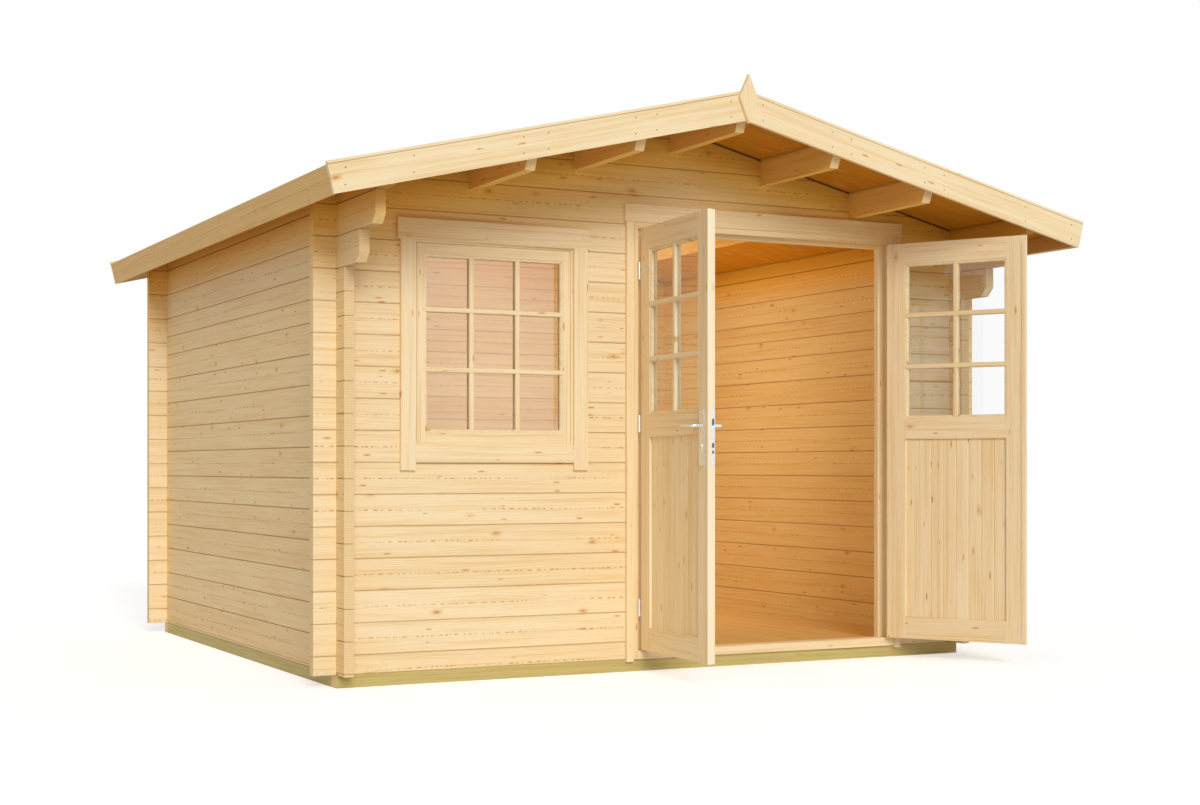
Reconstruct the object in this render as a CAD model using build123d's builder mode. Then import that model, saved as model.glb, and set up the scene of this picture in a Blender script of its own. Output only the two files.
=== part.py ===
"""Garden log cabin: crossed log walls, a pitched board roof, glazed double doors and one window.

Millimetres. X runs to the right along the front, Y from the front to the back, Z up.
The origin lies on the ground at the middle of the wall footprint.
"""
import math
import os

from build123d import *

os.makedirs("parts", exist_ok=True)

# Clearances shared by all pieces
seat_gap = 0.3
overrun = 20.0

# Log walls
wall_width = 3240.0
wall_depth = 2940.0
log_thickness = 44.0
log_course = 135.0
starter_course = 80.0
log_edge_chamfer = 4.0
corner_overhang = 100.0

# Side logs that step out under the roof's front overhang
corbel_count = 2
eave_log_height = 72.5
lower_corbel_reach = 285.0
upper_corbel_reach = 474.0
corbel_nose = 40.0

# Foundation and floor
beam_height = 55.0
beam_width = 60.0
joist_width = 45.0
joist_count = 5
floor_thickness = 26.0

# Roof
roof_pitch = 13.4
front_overhang = 635.0
back_overhang = 246.0
side_overhang = 241.9
roof_board_thickness = 19.0
barge_thickness = 18.0
barge_width = 115.0
barge_drop = 75.0
cap_strip_thickness = 12.0
purlin_width = 44.0
purlin_height = 118.0
lower_purlin_share = 0.6136
upper_purlin_share = 0.3025
purlin_nose_back = 45.0
purlin_nose_rise = 90.0
finial_width = 92.0
finial_thickness = 18.0
finial_top_rise = 98.0
finial_bottom_drop = 112.0

# Door frame
door_centre_from_right_face = 1116.0
leaf_width = 697.0
leaf_height = 1905.0
leaf_bottom = 100.0
leaf_thickness = 40.0
leaf_clearance = 5.0
meeting_rebate = 12.0
jamb_thickness = 25.0
jamb_stop = 40.0
head_stop = 18.0
jamb_proud = 16.0
casing_thickness = 20.0
door_casing_width = 34.0
door_header_height = 80.0
header_overhang = 8.0
casing_below_wall = 10.0

# Door leaves
left_open_angle = 95.0
right_open_angle = 120.0
leaf_stile = 95.0
leaf_top_rail = 100.0
leaf_middle_rail = 101.0
leaf_bottom_rail = 105.0
leaf_glass_height = 743.0
leaf_panel_thickness = 18.0
pane_thickness = 4.0

# Hinges
hinge_radius = 7.0
hinge_height = 74.0
hinge_end_distance = 190.0
middle_hinge_rise = 70.0
hinge_flap_thickness = 1.8
hinge_flap_width = 30.0

# Lever lock on the left leaf
lever_height = 1100.0
lever_backset = 47.0
lever_length = 115.0
lever_radius = 8.0
lever_projection = 50.0
neck_radius = 8.0
spindle_radius = 5.0
running_clearance = 0.1
spindle_hole_clearance = 2.0
lock_plate_height = 236.0
lock_plate_width = 37.0
lock_plate_thickness = 8.0
lock_plate_above_lever = 68.0
faceplate_height = 235.0
faceplate_width = 16.0
faceplate_thickness = 2.5
strike_height = 120.0

# Window
window_centre_share = 0.5188
window_width_share = 0.5957
window_top_below_leaf_top = 93.0
window_height = 907.0
window_frame_width = 25.0
window_frame_depth = 60.0
sash_gap = 2.0
sash_stile = 36.0
sash_bottom_rail = 47.0
sash_top_rail = 46.0
sash_depth = 40.0
window_trim_width = 68.0
window_trim_overlap = 15.0
window_trim_tail = 33.0
window_trim_thickness = 18.0
window_bottom_trim = 75.0
window_header_height = 90.0
window_header_overhang = 13.0

# Levels and faces worked out from the sizes above
left_face = -wall_width / 2
right_face = wall_width / 2
front_face = -wall_depth / 2
back_face = wall_depth / 2
leaf_top = leaf_bottom + leaf_height
head_bottom = leaf_top + leaf_clearance
door_frame_top = head_bottom + jamb_thickness
wall_courses = 1 + math.floor((door_frame_top - beam_height - starter_course) / log_course)
side_first_top = beam_height + starter_course + log_course / 2
side_top = beam_height + starter_course + (wall_courses - 1) * log_course
pitch_sin = math.sin(math.radians(roof_pitch))
pitch_cos = math.cos(math.radians(roof_pitch))
pitch_tan = math.tan(math.radians(roof_pitch))
apex_under = side_top + eave_log_height + wall_width / 2 * pitch_tan
eave_length = (right_face + side_overhang) / pitch_cos
lower_purlin_x = lower_purlin_share * right_face
upper_purlin_x = upper_purlin_share * right_face
barge_front = front_face - front_overhang
barge_back = back_face + back_overhang
roof_front = barge_front + barge_thickness + seat_gap
roof_back = barge_back - barge_thickness - seat_gap


def export(builder, name):
    """Label a finished sub-part and write it under its node's name."""
    builder.part.label = name
    export_step(builder.part, "parts/" + name + ".step")


def block(x_low, x_high, y_low, y_high, z_low, z_high, mode=Mode.ADD):
    """A straight board or cut between two corners."""
    with Locations(((x_low + x_high) / 2, (y_low + y_high) / 2, (z_low + z_high) / 2)):
        Box(x_high - x_low, y_high - y_low, z_high - z_low, mode=mode)


def prism_along_y(points, y_low, y_high, mode=Mode.ADD):
    """An outline in X and Z carried from y_low to y_high."""
    with BuildSketch(Plane.XZ.offset(-y_low)) as section:
        with BuildLine():
            Polyline(*points, close=True)
        make_face()
    extrude(section.sketch, amount=y_low - y_high, mode=mode)


def prism_along_x(points, x_low, x_high, mode=Mode.ADD):
    """An outline in Y and Z carried from x_low to x_high."""
    with BuildSketch(Plane.YZ.offset(x_low)) as section:
        with BuildLine():
            Polyline(*points, close=True)
        make_face()
    extrude(section.sketch, amount=x_high - x_low, mode=mode)


def roof_under(x):
    """Height of the roof boards' underside at x."""
    return apex_under - abs(x) * pitch_tan


def roof_point(along, above, side):
    """Point along a slope from the ridge and above the boards' underside, as X and Z."""
    x = side * (along * pitch_cos + above * pitch_sin)
    z = apex_under - along * pitch_sin + above * pitch_cos
    return (x, z)


def slope_strip(side, low, high, eave_end):
    """Outline of a board that lies along one slope, cut plumb at the ridge and square at the eave."""
    ridge_x = seat_gap / 2
    ridge_low = apex_under + low / pitch_cos - ridge_x * pitch_tan
    ridge_high = apex_under + high / pitch_cos - ridge_x * pitch_tan
    return [
        (side * ridge_x, ridge_low),
        (side * ridge_x, ridge_high),
        roof_point(eave_end, high, side),
        roof_point(eave_end, low, side),
    ]


def front_course(index):
    """Bottom and top of a front or back log: a low starter, then full courses."""
    top = beam_height + starter_course + index * log_course
    bottom = beam_height if index == 0 else top - log_course
    return bottom, top


# Joints between side logs: half a course above the front ones, two lower logs, then level with the front
corbel_start = wall_courses - corbel_count
even_side_logs = corbel_start - 2
side_joints = [side_first_top + index * log_course for index in range(even_side_logs)]
corbel_bottom = front_course(corbel_start)[0]
side_joints.append((side_joints[-1] + corbel_bottom) / 2)
side_joints += [front_course(index)[0] for index in range(corbel_start, wall_courses + 1)]


def front_lap(index):
    """Bottom and top of the part of a front or back log that runs through a corner."""
    bottom, top = front_course(index)
    middle = top - log_course / 2
    if corbel_start <= index < wall_courses:
        return middle, top
    return middle - log_course / 4, middle + log_course / 4


def lay_log_along_x(x_low, x_high, y_middle, course):
    """Carry the log profile with its chamfered edges along X."""
    bottom, top = course
    with BuildSketch(Plane.YZ.offset(x_low)) as section:
        with Locations((y_middle, (bottom + top) / 2)):
            Rectangle(log_thickness, top - bottom - seat_gap)
        chamfer(section.vertices(), length=log_edge_chamfer)
    extrude(section.sketch, amount=x_high - x_low)


def lay_log_along_y(y_low, y_high, x_middle, course):
    """Carry the log profile with its chamfered edges along Y."""
    bottom, top = course
    with BuildSketch(Plane.XZ.offset(-y_low)) as section:
        with Locations((x_middle, (bottom + top) / 2)):
            Rectangle(log_thickness, top - bottom - seat_gap)
        chamfer(section.vertices(), length=log_edge_chamfer)
    extrude(section.sketch, amount=y_low - y_high)


def cut_nose(y_end, z_low, x_middle, back, rise):
    """Cut the lower corner off a log end that points to the front."""
    lead = overrun * rise / back
    points = [
        (y_end - overrun, z_low - lead),
        (y_end + back + overrun, z_low - lead),
        (y_end - overrun, z_low + rise + lead),
    ]
    half = log_thickness / 2 + overrun
    prism_along_x(points, x_middle - half, x_middle + half, mode=Mode.SUBTRACT)


def cut_back_nose(y_end, z_low, x_middle, back, rise):
    """Cut the lower corner off a log end that points to the back."""
    lead = overrun * rise / back
    points = [
        (y_end + overrun, z_low - lead),
        (y_end - back - overrun, z_low - lead),
        (y_end + overrun, z_low + rise + lead),
    ]
    half = log_thickness / 2 + overrun
    prism_along_x(points, x_middle - half, x_middle + half, mode=Mode.SUBTRACT)


def notch_front_logs(x_middle, y_middle):
    """Cut front or back logs where the side logs lap through them."""
    half_width = log_thickness / 2 + seat_gap
    half_reach = log_thickness / 2 + overrun
    for index in range(wall_courses):
        block(
            x_middle - half_width,
            x_middle + half_width,
            y_middle - half_reach,
            y_middle + half_reach,
            front_lap(index)[1] - seat_gap / 2,
            front_lap(index + 1)[0] + seat_gap / 2,
            mode=Mode.SUBTRACT,
        )


def notch_side_logs(x_middle, y_middle):
    """Cut side logs where the front or back logs lap through them."""
    half_width = log_thickness / 2 + seat_gap
    half_reach = log_thickness / 2 + overrun
    for index in range(wall_courses):
        block(
            x_middle - half_reach,
            x_middle + half_reach,
            y_middle - half_width,
            y_middle + half_width,
            front_lap(index)[0] - seat_gap / 2,
            front_lap(index)[1] + seat_gap / 2,
            mode=Mode.SUBTRACT,
        )


# Centre lines of the four walls
front_line = front_face + log_thickness / 2
back_line = back_face - log_thickness / 2
wall_lines_y = (front_line, back_line)
side_line = right_face - log_thickness / 2

# Places of the door and window openings in the front wall
door_centre_x = right_face - door_centre_from_right_face
door_opening = 2 * leaf_width - meeting_rebate + 3 * leaf_clearance
door_left = door_centre_x - door_opening / 2
door_right = door_centre_x + door_opening / 2
threshold_top = leaf_bottom - leaf_clearance
door_cut_left = door_left - jamb_thickness - seat_gap
door_cut_right = door_right + jamb_thickness + seat_gap
door_header_half = door_opening / 2 + jamb_thickness + door_casing_width + header_overhang
window_bay_left = left_face + log_thickness
window_bay = door_centre_x - door_header_half - window_bay_left
window_width = window_width_share * window_bay
window_centre_x = window_bay_left + window_centre_share * window_bay
window_bottom = leaf_top - window_top_below_leaf_top - window_height
window_left = window_centre_x - window_width / 2
window_right = window_centre_x + window_width / 2
window_top = window_bottom + window_height

# Foundation: treated beams under the walls, joists between them
with BuildPart() as foundation_cross_beams:
    for y_low in (front_face, back_face - beam_width):
        block(left_face, right_face, y_low, y_low + beam_width, 0, beam_height)
export(foundation_cross_beams, "foundation_cross_beams")

with BuildPart() as foundation_side_beams:
    for x_low in (left_face, right_face - beam_width):
        block(
            x_low,
            x_low + beam_width,
            front_face + beam_width + seat_gap,
            back_face - beam_width - seat_gap,
            0,
            beam_height,
        )
export(foundation_side_beams, "foundation_side_beams")

joist_length = wall_width - 2 * beam_width - 2 * seat_gap
joist_pitch = (wall_depth - 2 * beam_width) / (joist_count + 1)
with BuildPart() as floor_joists:
    with Locations((0, 0, beam_height / 2)):
        with GridLocations(joist_pitch, joist_pitch, 1, joist_count):
            Box(joist_length, joist_width, beam_height)
export(floor_joists, "floor_joists")

floor_bottom = beam_height + seat_gap
floor_top = floor_bottom + floor_thickness
with BuildPart() as floor_deck:
    block(
        left_face + log_thickness + seat_gap,
        right_face - log_thickness - seat_gap,
        front_face + log_thickness + seat_gap,
        back_face - log_thickness - seat_gap,
        floor_bottom,
        floor_top,
    )
    block(
        door_cut_left,
        door_cut_right,
        front_face,
        front_face + log_thickness + jamb_proud + seat_gap,
        floor_bottom,
        floor_top,
        mode=Mode.SUBTRACT,
    )
export(floor_deck, "floor_deck")


def side_wall(side):
    """One side wall: courses up to the eave log, the last two reaching out as corbels."""
    x_middle = side * side_line
    log_front = front_face - corner_overhang
    log_back = back_face + corner_overhang
    corbel_ends = (front_face - lower_corbel_reach, front_face - upper_corbel_reach)
    bottom = beam_height
    with BuildPart() as wall:
        for top in side_joints[:-corbel_count]:
            lay_log_along_y(log_front, log_back, x_middle, (bottom, top))
            bottom = top
        for top, corbel_end in zip(side_joints[-corbel_count:], corbel_ends):
            lay_log_along_y(corbel_end, log_back, x_middle, (bottom, top))
            cut_nose(corbel_end, bottom + seat_gap / 2, x_middle, corbel_nose, corbel_nose)
            bottom = top
        for y_middle in wall_lines_y:
            notch_side_logs(x_middle, y_middle)
    return wall


export(side_wall(-1), "left_wall_logs")
export(side_wall(1), "right_wall_logs")


def eave_log(side):
    """The top side log: bevelled to the roof, reaching from barge board to barge board."""
    x_middle = side * side_line
    outer = side * right_face
    inner = side * (right_face - log_thickness)
    bottom = side_top + seat_gap / 2
    points = [
        (outer, bottom),
        (outer, roof_under(outer) - seat_gap),
        (inner, roof_under(inner) - seat_gap),
        (inner, bottom),
    ]
    with BuildPart() as log:
        prism_along_y(points, roof_front, roof_back)
        cut_nose(roof_front, bottom, x_middle, purlin_nose_back, purlin_nose_rise)
        cut_back_nose(roof_back, bottom, x_middle, purlin_nose_back, purlin_nose_rise)
        lap_low = front_lap(wall_courses)[0] - seat_gap / 2
        half = log_thickness / 2 + seat_gap
        for y_middle in wall_lines_y:
            block(
                x_middle - log_thickness,
                x_middle + log_thickness,
                y_middle - half,
                y_middle + half,
                lap_low,
                apex_under,
                mode=Mode.SUBTRACT,
            )
    return log


export(eave_log(-1), "left_eave_log")
export(eave_log(1), "right_eave_log")

log_left_end = left_face - corner_overhang
log_right_end = right_face + corner_overhang

with BuildPart() as front_wall_left_logs:
    for index in range(wall_courses):
        lay_log_along_x(log_left_end, door_cut_left, front_line, front_course(index))
    notch_front_logs(-side_line, front_line)
    block(
        window_left - seat_gap,
        window_right + seat_gap,
        front_face - overrun,
        front_face + log_thickness + overrun,
        window_bottom - seat_gap,
        window_top + seat_gap,
        mode=Mode.SUBTRACT,
    )
export(front_wall_left_logs, "front_wall_left_logs")

with BuildPart() as front_wall_right_logs:
    for index in range(wall_courses):
        lay_log_along_x(door_cut_right, log_right_end, front_line, front_course(index))
    notch_front_logs(side_line, front_line)
export(front_wall_right_logs, "front_wall_right_logs")

with BuildPart() as back_wall_logs:
    for index in range(wall_courses):
        lay_log_along_x(log_left_end, log_right_end, back_line, front_course(index))
    for side in (-1, 1):
        notch_front_logs(side * side_line, back_line)
export(back_wall_logs, "back_wall_logs")

purlin_places = (-lower_purlin_x, -upper_purlin_x, 0, upper_purlin_x, lower_purlin_x)


def purlin_bottom(x_middle):
    """Underside of a purlin that hangs from the roof boards."""
    return roof_under(x_middle) - purlin_height


def gable(y_middle):
    """Logs above the eaves, cut to the roof slopes and let in around the purlins."""
    wall_top = front_course(wall_courses - 1)[1]
    gable_courses = math.ceil((apex_under - wall_top) / log_course)
    reach = log_right_end + overrun
    y_low = y_middle - log_thickness / 2 - overrun
    y_high = y_middle + log_thickness / 2 + overrun
    above_roof = [
        (-reach, roof_under(reach) - seat_gap),
        (0, apex_under - seat_gap),
        (reach, roof_under(reach) - seat_gap),
        (reach, apex_under + log_course),
        (-reach, apex_under + log_course),
    ]
    with BuildPart() as wall:
        for index in range(wall_courses, wall_courses + gable_courses):
            lay_log_along_x(log_left_end, log_right_end, y_middle, front_course(index))
        prism_along_y(above_roof, y_low, y_high, mode=Mode.SUBTRACT)
        for x_middle in purlin_places:
            block(
                x_middle - purlin_width / 2 - seat_gap,
                x_middle + purlin_width / 2 + seat_gap,
                y_low,
                y_high,
                purlin_bottom(x_middle) - seat_gap,
                apex_under + log_course,
                mode=Mode.SUBTRACT,
            )
        for side in (-1, 1):
            notch_front_logs(side * side_line, y_middle)
        if y_middle == front_line:
            block(
                door_cut_left,
                door_cut_right,
                y_low,
                y_high,
                front_course(0)[0],
                door_frame_top + seat_gap,
                mode=Mode.SUBTRACT,
            )
    return wall


export(gable(front_line), "front_gable_logs")
export(gable(back_line), "back_gable_logs")


def purlin(x_middle):
    """Carry one purlin's bevelled section from barge board to barge board, with nosed ends."""
    low_x = x_middle - purlin_width / 2
    high_x = x_middle + purlin_width / 2
    bottom = purlin_bottom(x_middle)
    points = [(low_x, bottom), (high_x, bottom), (high_x, roof_under(high_x) - seat_gap)]
    if x_middle == 0:
        points.append((x_middle, apex_under - seat_gap))
    points.append((low_x, roof_under(low_x) - seat_gap))
    prism_along_y(points, roof_front, roof_back)
    cut_nose(roof_front, bottom, x_middle, purlin_nose_back, purlin_nose_rise)
    cut_back_nose(roof_back, bottom, x_middle, purlin_nose_back, purlin_nose_rise)


with BuildPart() as ridge_purlin:
    purlin(0)
export(ridge_purlin, "ridge_purlin")

with BuildPart() as left_purlins:
    for x_middle in (-lower_purlin_x, -upper_purlin_x):
        purlin(x_middle)
export(left_purlins, "left_purlins")

with BuildPart() as right_purlins:
    for x_middle in (upper_purlin_x, lower_purlin_x):
        purlin(x_middle)
export(right_purlins, "right_purlins")


def roof_boards(side):
    """The boarded plane of one slope."""
    board_end = eave_length - barge_thickness - seat_gap
    with BuildPart() as boards:
        outline = slope_strip(side, 0, roof_board_thickness, board_end)
        prism_along_y(outline, roof_front, roof_back)
    return boards


export(roof_boards(-1), "left_roof_boards")
export(roof_boards(1), "right_roof_boards")

barge_high = barge_width - barge_drop
cap_low = barge_high + seat_gap
cap_high = cap_low + cap_strip_thickness


def barge_boards(y_low):
    """A pair of boards that cover one end of the roof, with a strip along the top of each."""
    with BuildPart() as boards:
        for side in (-1, 1):
            board = slope_strip(side, -barge_drop, barge_high, eave_length)
            prism_along_y(board, y_low, y_low + barge_thickness)
            strip = slope_strip(side, cap_low, cap_high, eave_length)
            prism_along_y(strip, y_low, y_low + barge_thickness)
    return boards


export(barge_boards(barge_front), "front_barge_boards")
export(barge_boards(barge_back - barge_thickness), "back_barge_boards")


def fascia(side):
    """The board along one eave, square to the slope, between the barge boards."""
    inner_end = eave_length - barge_thickness
    outline = [
        roof_point(inner_end, -barge_drop, side),
        roof_point(inner_end, barge_high, side),
        roof_point(eave_length, barge_high, side),
        roof_point(eave_length, -barge_drop, side),
    ]
    with BuildPart() as board:
        prism_along_y(outline, roof_front, roof_back)
    return board


export(fascia(-1), "left_fascia")
export(fascia(1), "right_fascia")


def finial(y_low):
    """The kite-shaped plate over the meeting of two barge boards."""
    waist = apex_under + barge_high / 2
    outline = [
        (0, waist - finial_bottom_drop),
        (finial_width / 2, waist),
        (0, waist + finial_top_rise),
        (-finial_width / 2, waist),
    ]
    with BuildPart() as plate:
        prism_along_y(outline, y_low, y_low + finial_thickness)
    return plate


export(finial(barge_front - seat_gap - finial_thickness), "front_finial")
export(finial(barge_back + seat_gap), "back_finial")

# Door frame: jambs with a stop that the closed leaves come up to
frame_front = front_face - jamb_proud
frame_back = front_face + log_thickness + jamb_proud
stop_front = frame_front + leaf_thickness + leaf_clearance

with BuildPart() as door_jambs:
    for side, face in ((-1, door_left), (1, door_right)):
        outer = face + side * jamb_thickness
        block(
            min(face, outer),
            max(face, outer),
            frame_front,
            frame_back,
            beam_height + seat_gap,
            door_frame_top,
        )
        stop = face - side * jamb_stop
        block(
            min(stop, outer),
            max(stop, outer),
            stop_front,
            frame_back,
            threshold_top + seat_gap,
            head_bottom - seat_gap,
        )
export(door_jambs, "door_jambs")

with BuildPart() as door_head:
    block(
        door_left + seat_gap,
        door_right - seat_gap,
        frame_front,
        frame_back,
        head_bottom,
        door_frame_top,
    )
    block(
        door_left + jamb_stop + seat_gap,
        door_right - jamb_stop - seat_gap,
        stop_front,
        frame_back,
        head_bottom - head_stop,
        door_frame_top,
    )
export(door_head, "door_head")

with BuildPart() as door_threshold:
    block(
        door_left + seat_gap,
        door_right - seat_gap,
        frame_front,
        frame_back,
        beam_height + seat_gap,
        threshold_top,
    )
export(door_threshold, "door_threshold")

casing_back = front_face - seat_gap
casing_front = casing_back - casing_thickness
header_low = door_frame_top + seat_gap
with BuildPart() as door_casing:
    for side, edge in ((-1, door_left - jamb_thickness), (1, door_right + jamb_thickness)):
        near = edge + side * seat_gap
        far = near + side * door_casing_width
        block(
            min(near, far),
            max(near, far),
            casing_front,
            casing_back,
            beam_height - casing_below_wall,
            header_low - seat_gap,
        )
    block(
        door_centre_x - door_header_half,
        door_centre_x + door_header_half,
        casing_front,
        casing_back,
        header_low,
        header_low + door_header_height,
    )
export(door_casing, "door_casing")

# Door leaves, each on a plane that turns about its hinge line
hinge_y = frame_front - hinge_radius
left_hinge_x = door_left + leaf_clearance / 2
right_hinge_x = door_right - leaf_clearance / 2
left_turn = math.radians(-left_open_angle)
right_turn = math.radians(180 + right_open_angle)
left_plane = Plane(
    origin=(left_hinge_x, hinge_y, 0),
    x_dir=(math.cos(left_turn), math.sin(left_turn), 0),
    z_dir=(0, 0, 1),
)
right_plane = Plane(
    origin=(right_hinge_x, hinge_y, 0),
    x_dir=(math.cos(right_turn), math.sin(right_turn), 0),
    z_dir=(0, 0, 1),
)
hinge_edge = leaf_clearance / 2
free_edge = hinge_edge + leaf_width
stile_end = free_edge - meeting_rebate
lap_depth = leaf_thickness / 2 - leaf_clearance / 2
middle_rail_top = leaf_top - leaf_top_rail - leaf_glass_height
middle_rail_bottom = middle_rail_top - leaf_middle_rail
panel_bottom = leaf_bottom + leaf_bottom_rail
field_left = hinge_edge + leaf_stile + seat_gap
field_right = free_edge - leaf_stile - seat_gap
hinge_levels = (
    leaf_bottom + hinge_end_distance,
    leaf_bottom + leaf_height / 2 + middle_hinge_rise,
    leaf_top - hinge_end_distance,
)
spindle_x = free_edge - lever_backset
plate_bottom = lever_height + lock_plate_above_lever - lock_plate_height
faceplate_bottom = plate_bottom + (lock_plate_height - faceplate_height) / 2


def leaf_block(inward, x_low, x_high, depth_low, depth_high, z_low, z_high, mode=Mode.ADD):
    """A straight piece of a leaf, with its depth counted inwards from the leaf's outer face."""
    near = inward * (hinge_radius + depth_low)
    far = inward * (hinge_radius + depth_high)
    block(x_low, x_high, min(near, far), max(near, far), z_low, z_high, mode=mode)


def leaf_frame(plane, inward, lap_low, plate_end, plate_low, plate_bottom_level, plate_height):
    """Stiles, rails and meeting lap of one leaf, with a recess for the plate on its free edge."""
    with BuildPart(plane) as frame:
        leaf_block(inward, hinge_edge, hinge_edge + leaf_stile, 0, leaf_thickness, leaf_bottom, leaf_top)
        leaf_block(inward, free_edge - leaf_stile, stile_end, 0, leaf_thickness, leaf_bottom, leaf_top)
        leaf_block(
            inward, stile_end + seat_gap, free_edge, lap_low, lap_low + lap_depth, leaf_bottom, leaf_top
        )
        leaf_block(
            inward,
            plate_end - faceplate_thickness - seat_gap,
            plate_end + overrun,
            plate_low - seat_gap,
            plate_low + faceplate_width + seat_gap,
            plate_bottom_level - seat_gap,
            plate_bottom_level + plate_height + seat_gap,
            mode=Mode.SUBTRACT,
        )
        rails = (
            (leaf_bottom, panel_bottom),
            (middle_rail_bottom, middle_rail_top),
            (leaf_top - leaf_top_rail, leaf_top),
        )
        for z_low, z_high in rails:
            leaf_block(inward, field_left, field_right, 0, leaf_thickness, z_low, z_high)
        if plane is left_plane:
            with Locations((spindle_x, inward * (hinge_radius + leaf_thickness / 2), lever_height)):
                Cylinder(
                    spindle_radius + spindle_hole_clearance,
                    leaf_thickness + overrun,
                    rotation=(90, 0, 0),
                    mode=Mode.SUBTRACT,
                )
    return frame


def edge_plate(plane, inward, plate_end, plate_low, plate_bottom_level, plate_height):
    """A metal plate let in flush on the free edge of a leaf."""
    with BuildPart(plane) as plate:
        leaf_block(
            inward,
            plate_end - faceplate_thickness,
            plate_end,
            plate_low,
            plate_low + faceplate_width,
            plate_bottom_level,
            plate_bottom_level + plate_height,
        )
    return plate


def leaf_fill(plane, inward, thickness, z_low, z_high):
    """A sheet that fills one field between the stiles of a leaf."""
    depth = (leaf_thickness - thickness) / 2
    with BuildPart(plane) as sheet:
        leaf_block(
            inward,
            field_left,
            field_right,
            depth,
            depth + thickness,
            z_low + seat_gap,
            z_high - seat_gap,
        )
    return sheet


plate_low = leaf_thickness - lap_depth + (lap_depth - faceplate_width) / 2
strike_bottom = lever_height - strike_height / 2
leaves = (
    {
        "name": "left_door",
        "plane": left_plane,
        "inward": 1,
        "lap_low": 0,
        "plate": (stile_end, plate_low, faceplate_bottom, faceplate_height),
        "plate_name": "lock_faceplate",
    },
    {
        "name": "right_door",
        "plane": right_plane,
        "inward": -1,
        "lap_low": leaf_thickness - lap_depth,
        "plate": (free_edge, plate_low, strike_bottom, strike_height),
        "plate_name": "strike_plate",
    },
)
for leaf in leaves:
    name, plane, inward = leaf["name"], leaf["plane"], leaf["inward"]
    export(leaf_frame(plane, inward, leaf["lap_low"], *leaf["plate"]), name + "_frame")
    panel = leaf_fill(plane, inward, leaf_panel_thickness, panel_bottom, middle_rail_bottom)
    export(panel, name + "_panel")
    glass = leaf_fill(plane, inward, pane_thickness, middle_rail_top, leaf_top - leaf_top_rail)
    export(glass, name + "_glass")
    export(edge_plate(plane, inward, *leaf["plate"]), leaf["plate_name"])


def knuckles(plane, inward, upper):
    """Hinge knuckles with a flap in the joint: upper ones on the leaf, lower ones on the jamb."""
    flap_far = hinge_edge - seat_gap
    flap_near = flap_far - hinge_flap_thickness
    half = hinge_height / 2
    with BuildPart(plane) as hinges:
        for level in hinge_levels:
            z_low = level + seat_gap if upper else level - half
            z_high = level + half if upper else level - seat_gap
            with Locations((0, 0, (z_low + z_high) / 2)):
                Cylinder(hinge_radius, z_high - z_low)
            flap_x = (flap_near, flap_far) if upper else (-flap_far, -flap_near)
            block(
                flap_x[0],
                flap_x[1],
                min(0, inward * (hinge_radius + hinge_flap_width)),
                max(0, inward * (hinge_radius + hinge_flap_width)),
                z_low,
                z_high,
            )
    return hinges


left_jamb_plane = Plane(origin=(left_hinge_x, hinge_y, 0), x_dir=(1, 0, 0), z_dir=(0, 0, 1))
right_jamb_plane = Plane(origin=(right_hinge_x, hinge_y, 0), x_dir=(-1, 0, 0), z_dir=(0, 0, 1))
export(knuckles(left_plane, 1, True), "left_leaf_hinges")
export(knuckles(right_plane, -1, True), "right_leaf_hinges")
export(knuckles(left_jamb_plane, 1, False), "left_jamb_hinges")
export(knuckles(right_jamb_plane, -1, False), "right_jamb_hinges")

outer_plate_depth = -seat_gap - lock_plate_thickness
inner_plate_depth = leaf_thickness + seat_gap
with BuildPart(left_plane) as lock_plates:
    for depth in (outer_plate_depth, inner_plate_depth):
        leaf_block(
            1,
            spindle_x - lock_plate_width / 2,
            spindle_x + lock_plate_width / 2,
            depth,
            depth + lock_plate_thickness,
            plate_bottom,
            plate_bottom + lock_plate_height,
        )
    with Locations((spindle_x, hinge_radius + leaf_thickness / 2, lever_height)):
        Cylinder(
            neck_radius + running_clearance,
            leaf_thickness + 2 * lock_plate_thickness + 2 * overrun,
            rotation=(90, 0, 0),
            mode=Mode.SUBTRACT,
        )
export(lock_plates, "lock_plates")

neck_length = lock_plate_thickness + lever_projection
outer_neck_y = hinge_radius - seat_gap - neck_length / 2
inner_neck_y = hinge_radius + leaf_thickness + seat_gap + neck_length / 2
with BuildPart(left_plane) as lever_handles:
    with Locations((spindle_x, hinge_radius + leaf_thickness / 2, lever_height)):
        Cylinder(spindle_radius, leaf_thickness + lock_plate_thickness, rotation=(90, 0, 0))
    for side, neck_y in ((-1, outer_neck_y), (1, inner_neck_y)):
        with Locations((spindle_x, neck_y, lever_height)):
            Cylinder(neck_radius, neck_length, rotation=(90, 0, 0))
        arm_y = neck_y + side * (neck_length / 2 - lever_radius)
        arm_length = lever_length + neck_radius
        with Locations((spindle_x + neck_radius - arm_length / 2, arm_y, lever_height)):
            Cylinder(lever_radius, arm_length, rotation=(0, 90, 0))
export(lever_handles, "lever_handles")

# Window: a frame in the logs, a fixed sash in the frame and a casing over the joint
window_front = front_face


def four_sided(x_low, x_high, z_low, z_high, stile, bottom_rail, top_rail, y_low, depth):
    """Two stiles with a bottom and a top rail between them."""
    y_high = y_low + depth
    block(x_low, x_low + stile, y_low, y_high, z_low, z_high)
    block(x_high - stile, x_high, y_low, y_high, z_low, z_high)
    rail_left = x_low + stile + seat_gap
    rail_right = x_high - stile - seat_gap
    block(rail_left, rail_right, y_low, y_high, z_low, z_low + bottom_rail)
    block(rail_left, rail_right, y_low, y_high, z_high - top_rail, z_high)


with BuildPart() as window_frame:
    four_sided(
        window_left,
        window_right,
        window_bottom,
        window_top,
        window_frame_width,
        window_frame_width,
        window_frame_width,
        window_front,
        window_frame_depth,
    )
export(window_frame, "window_frame")

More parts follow.
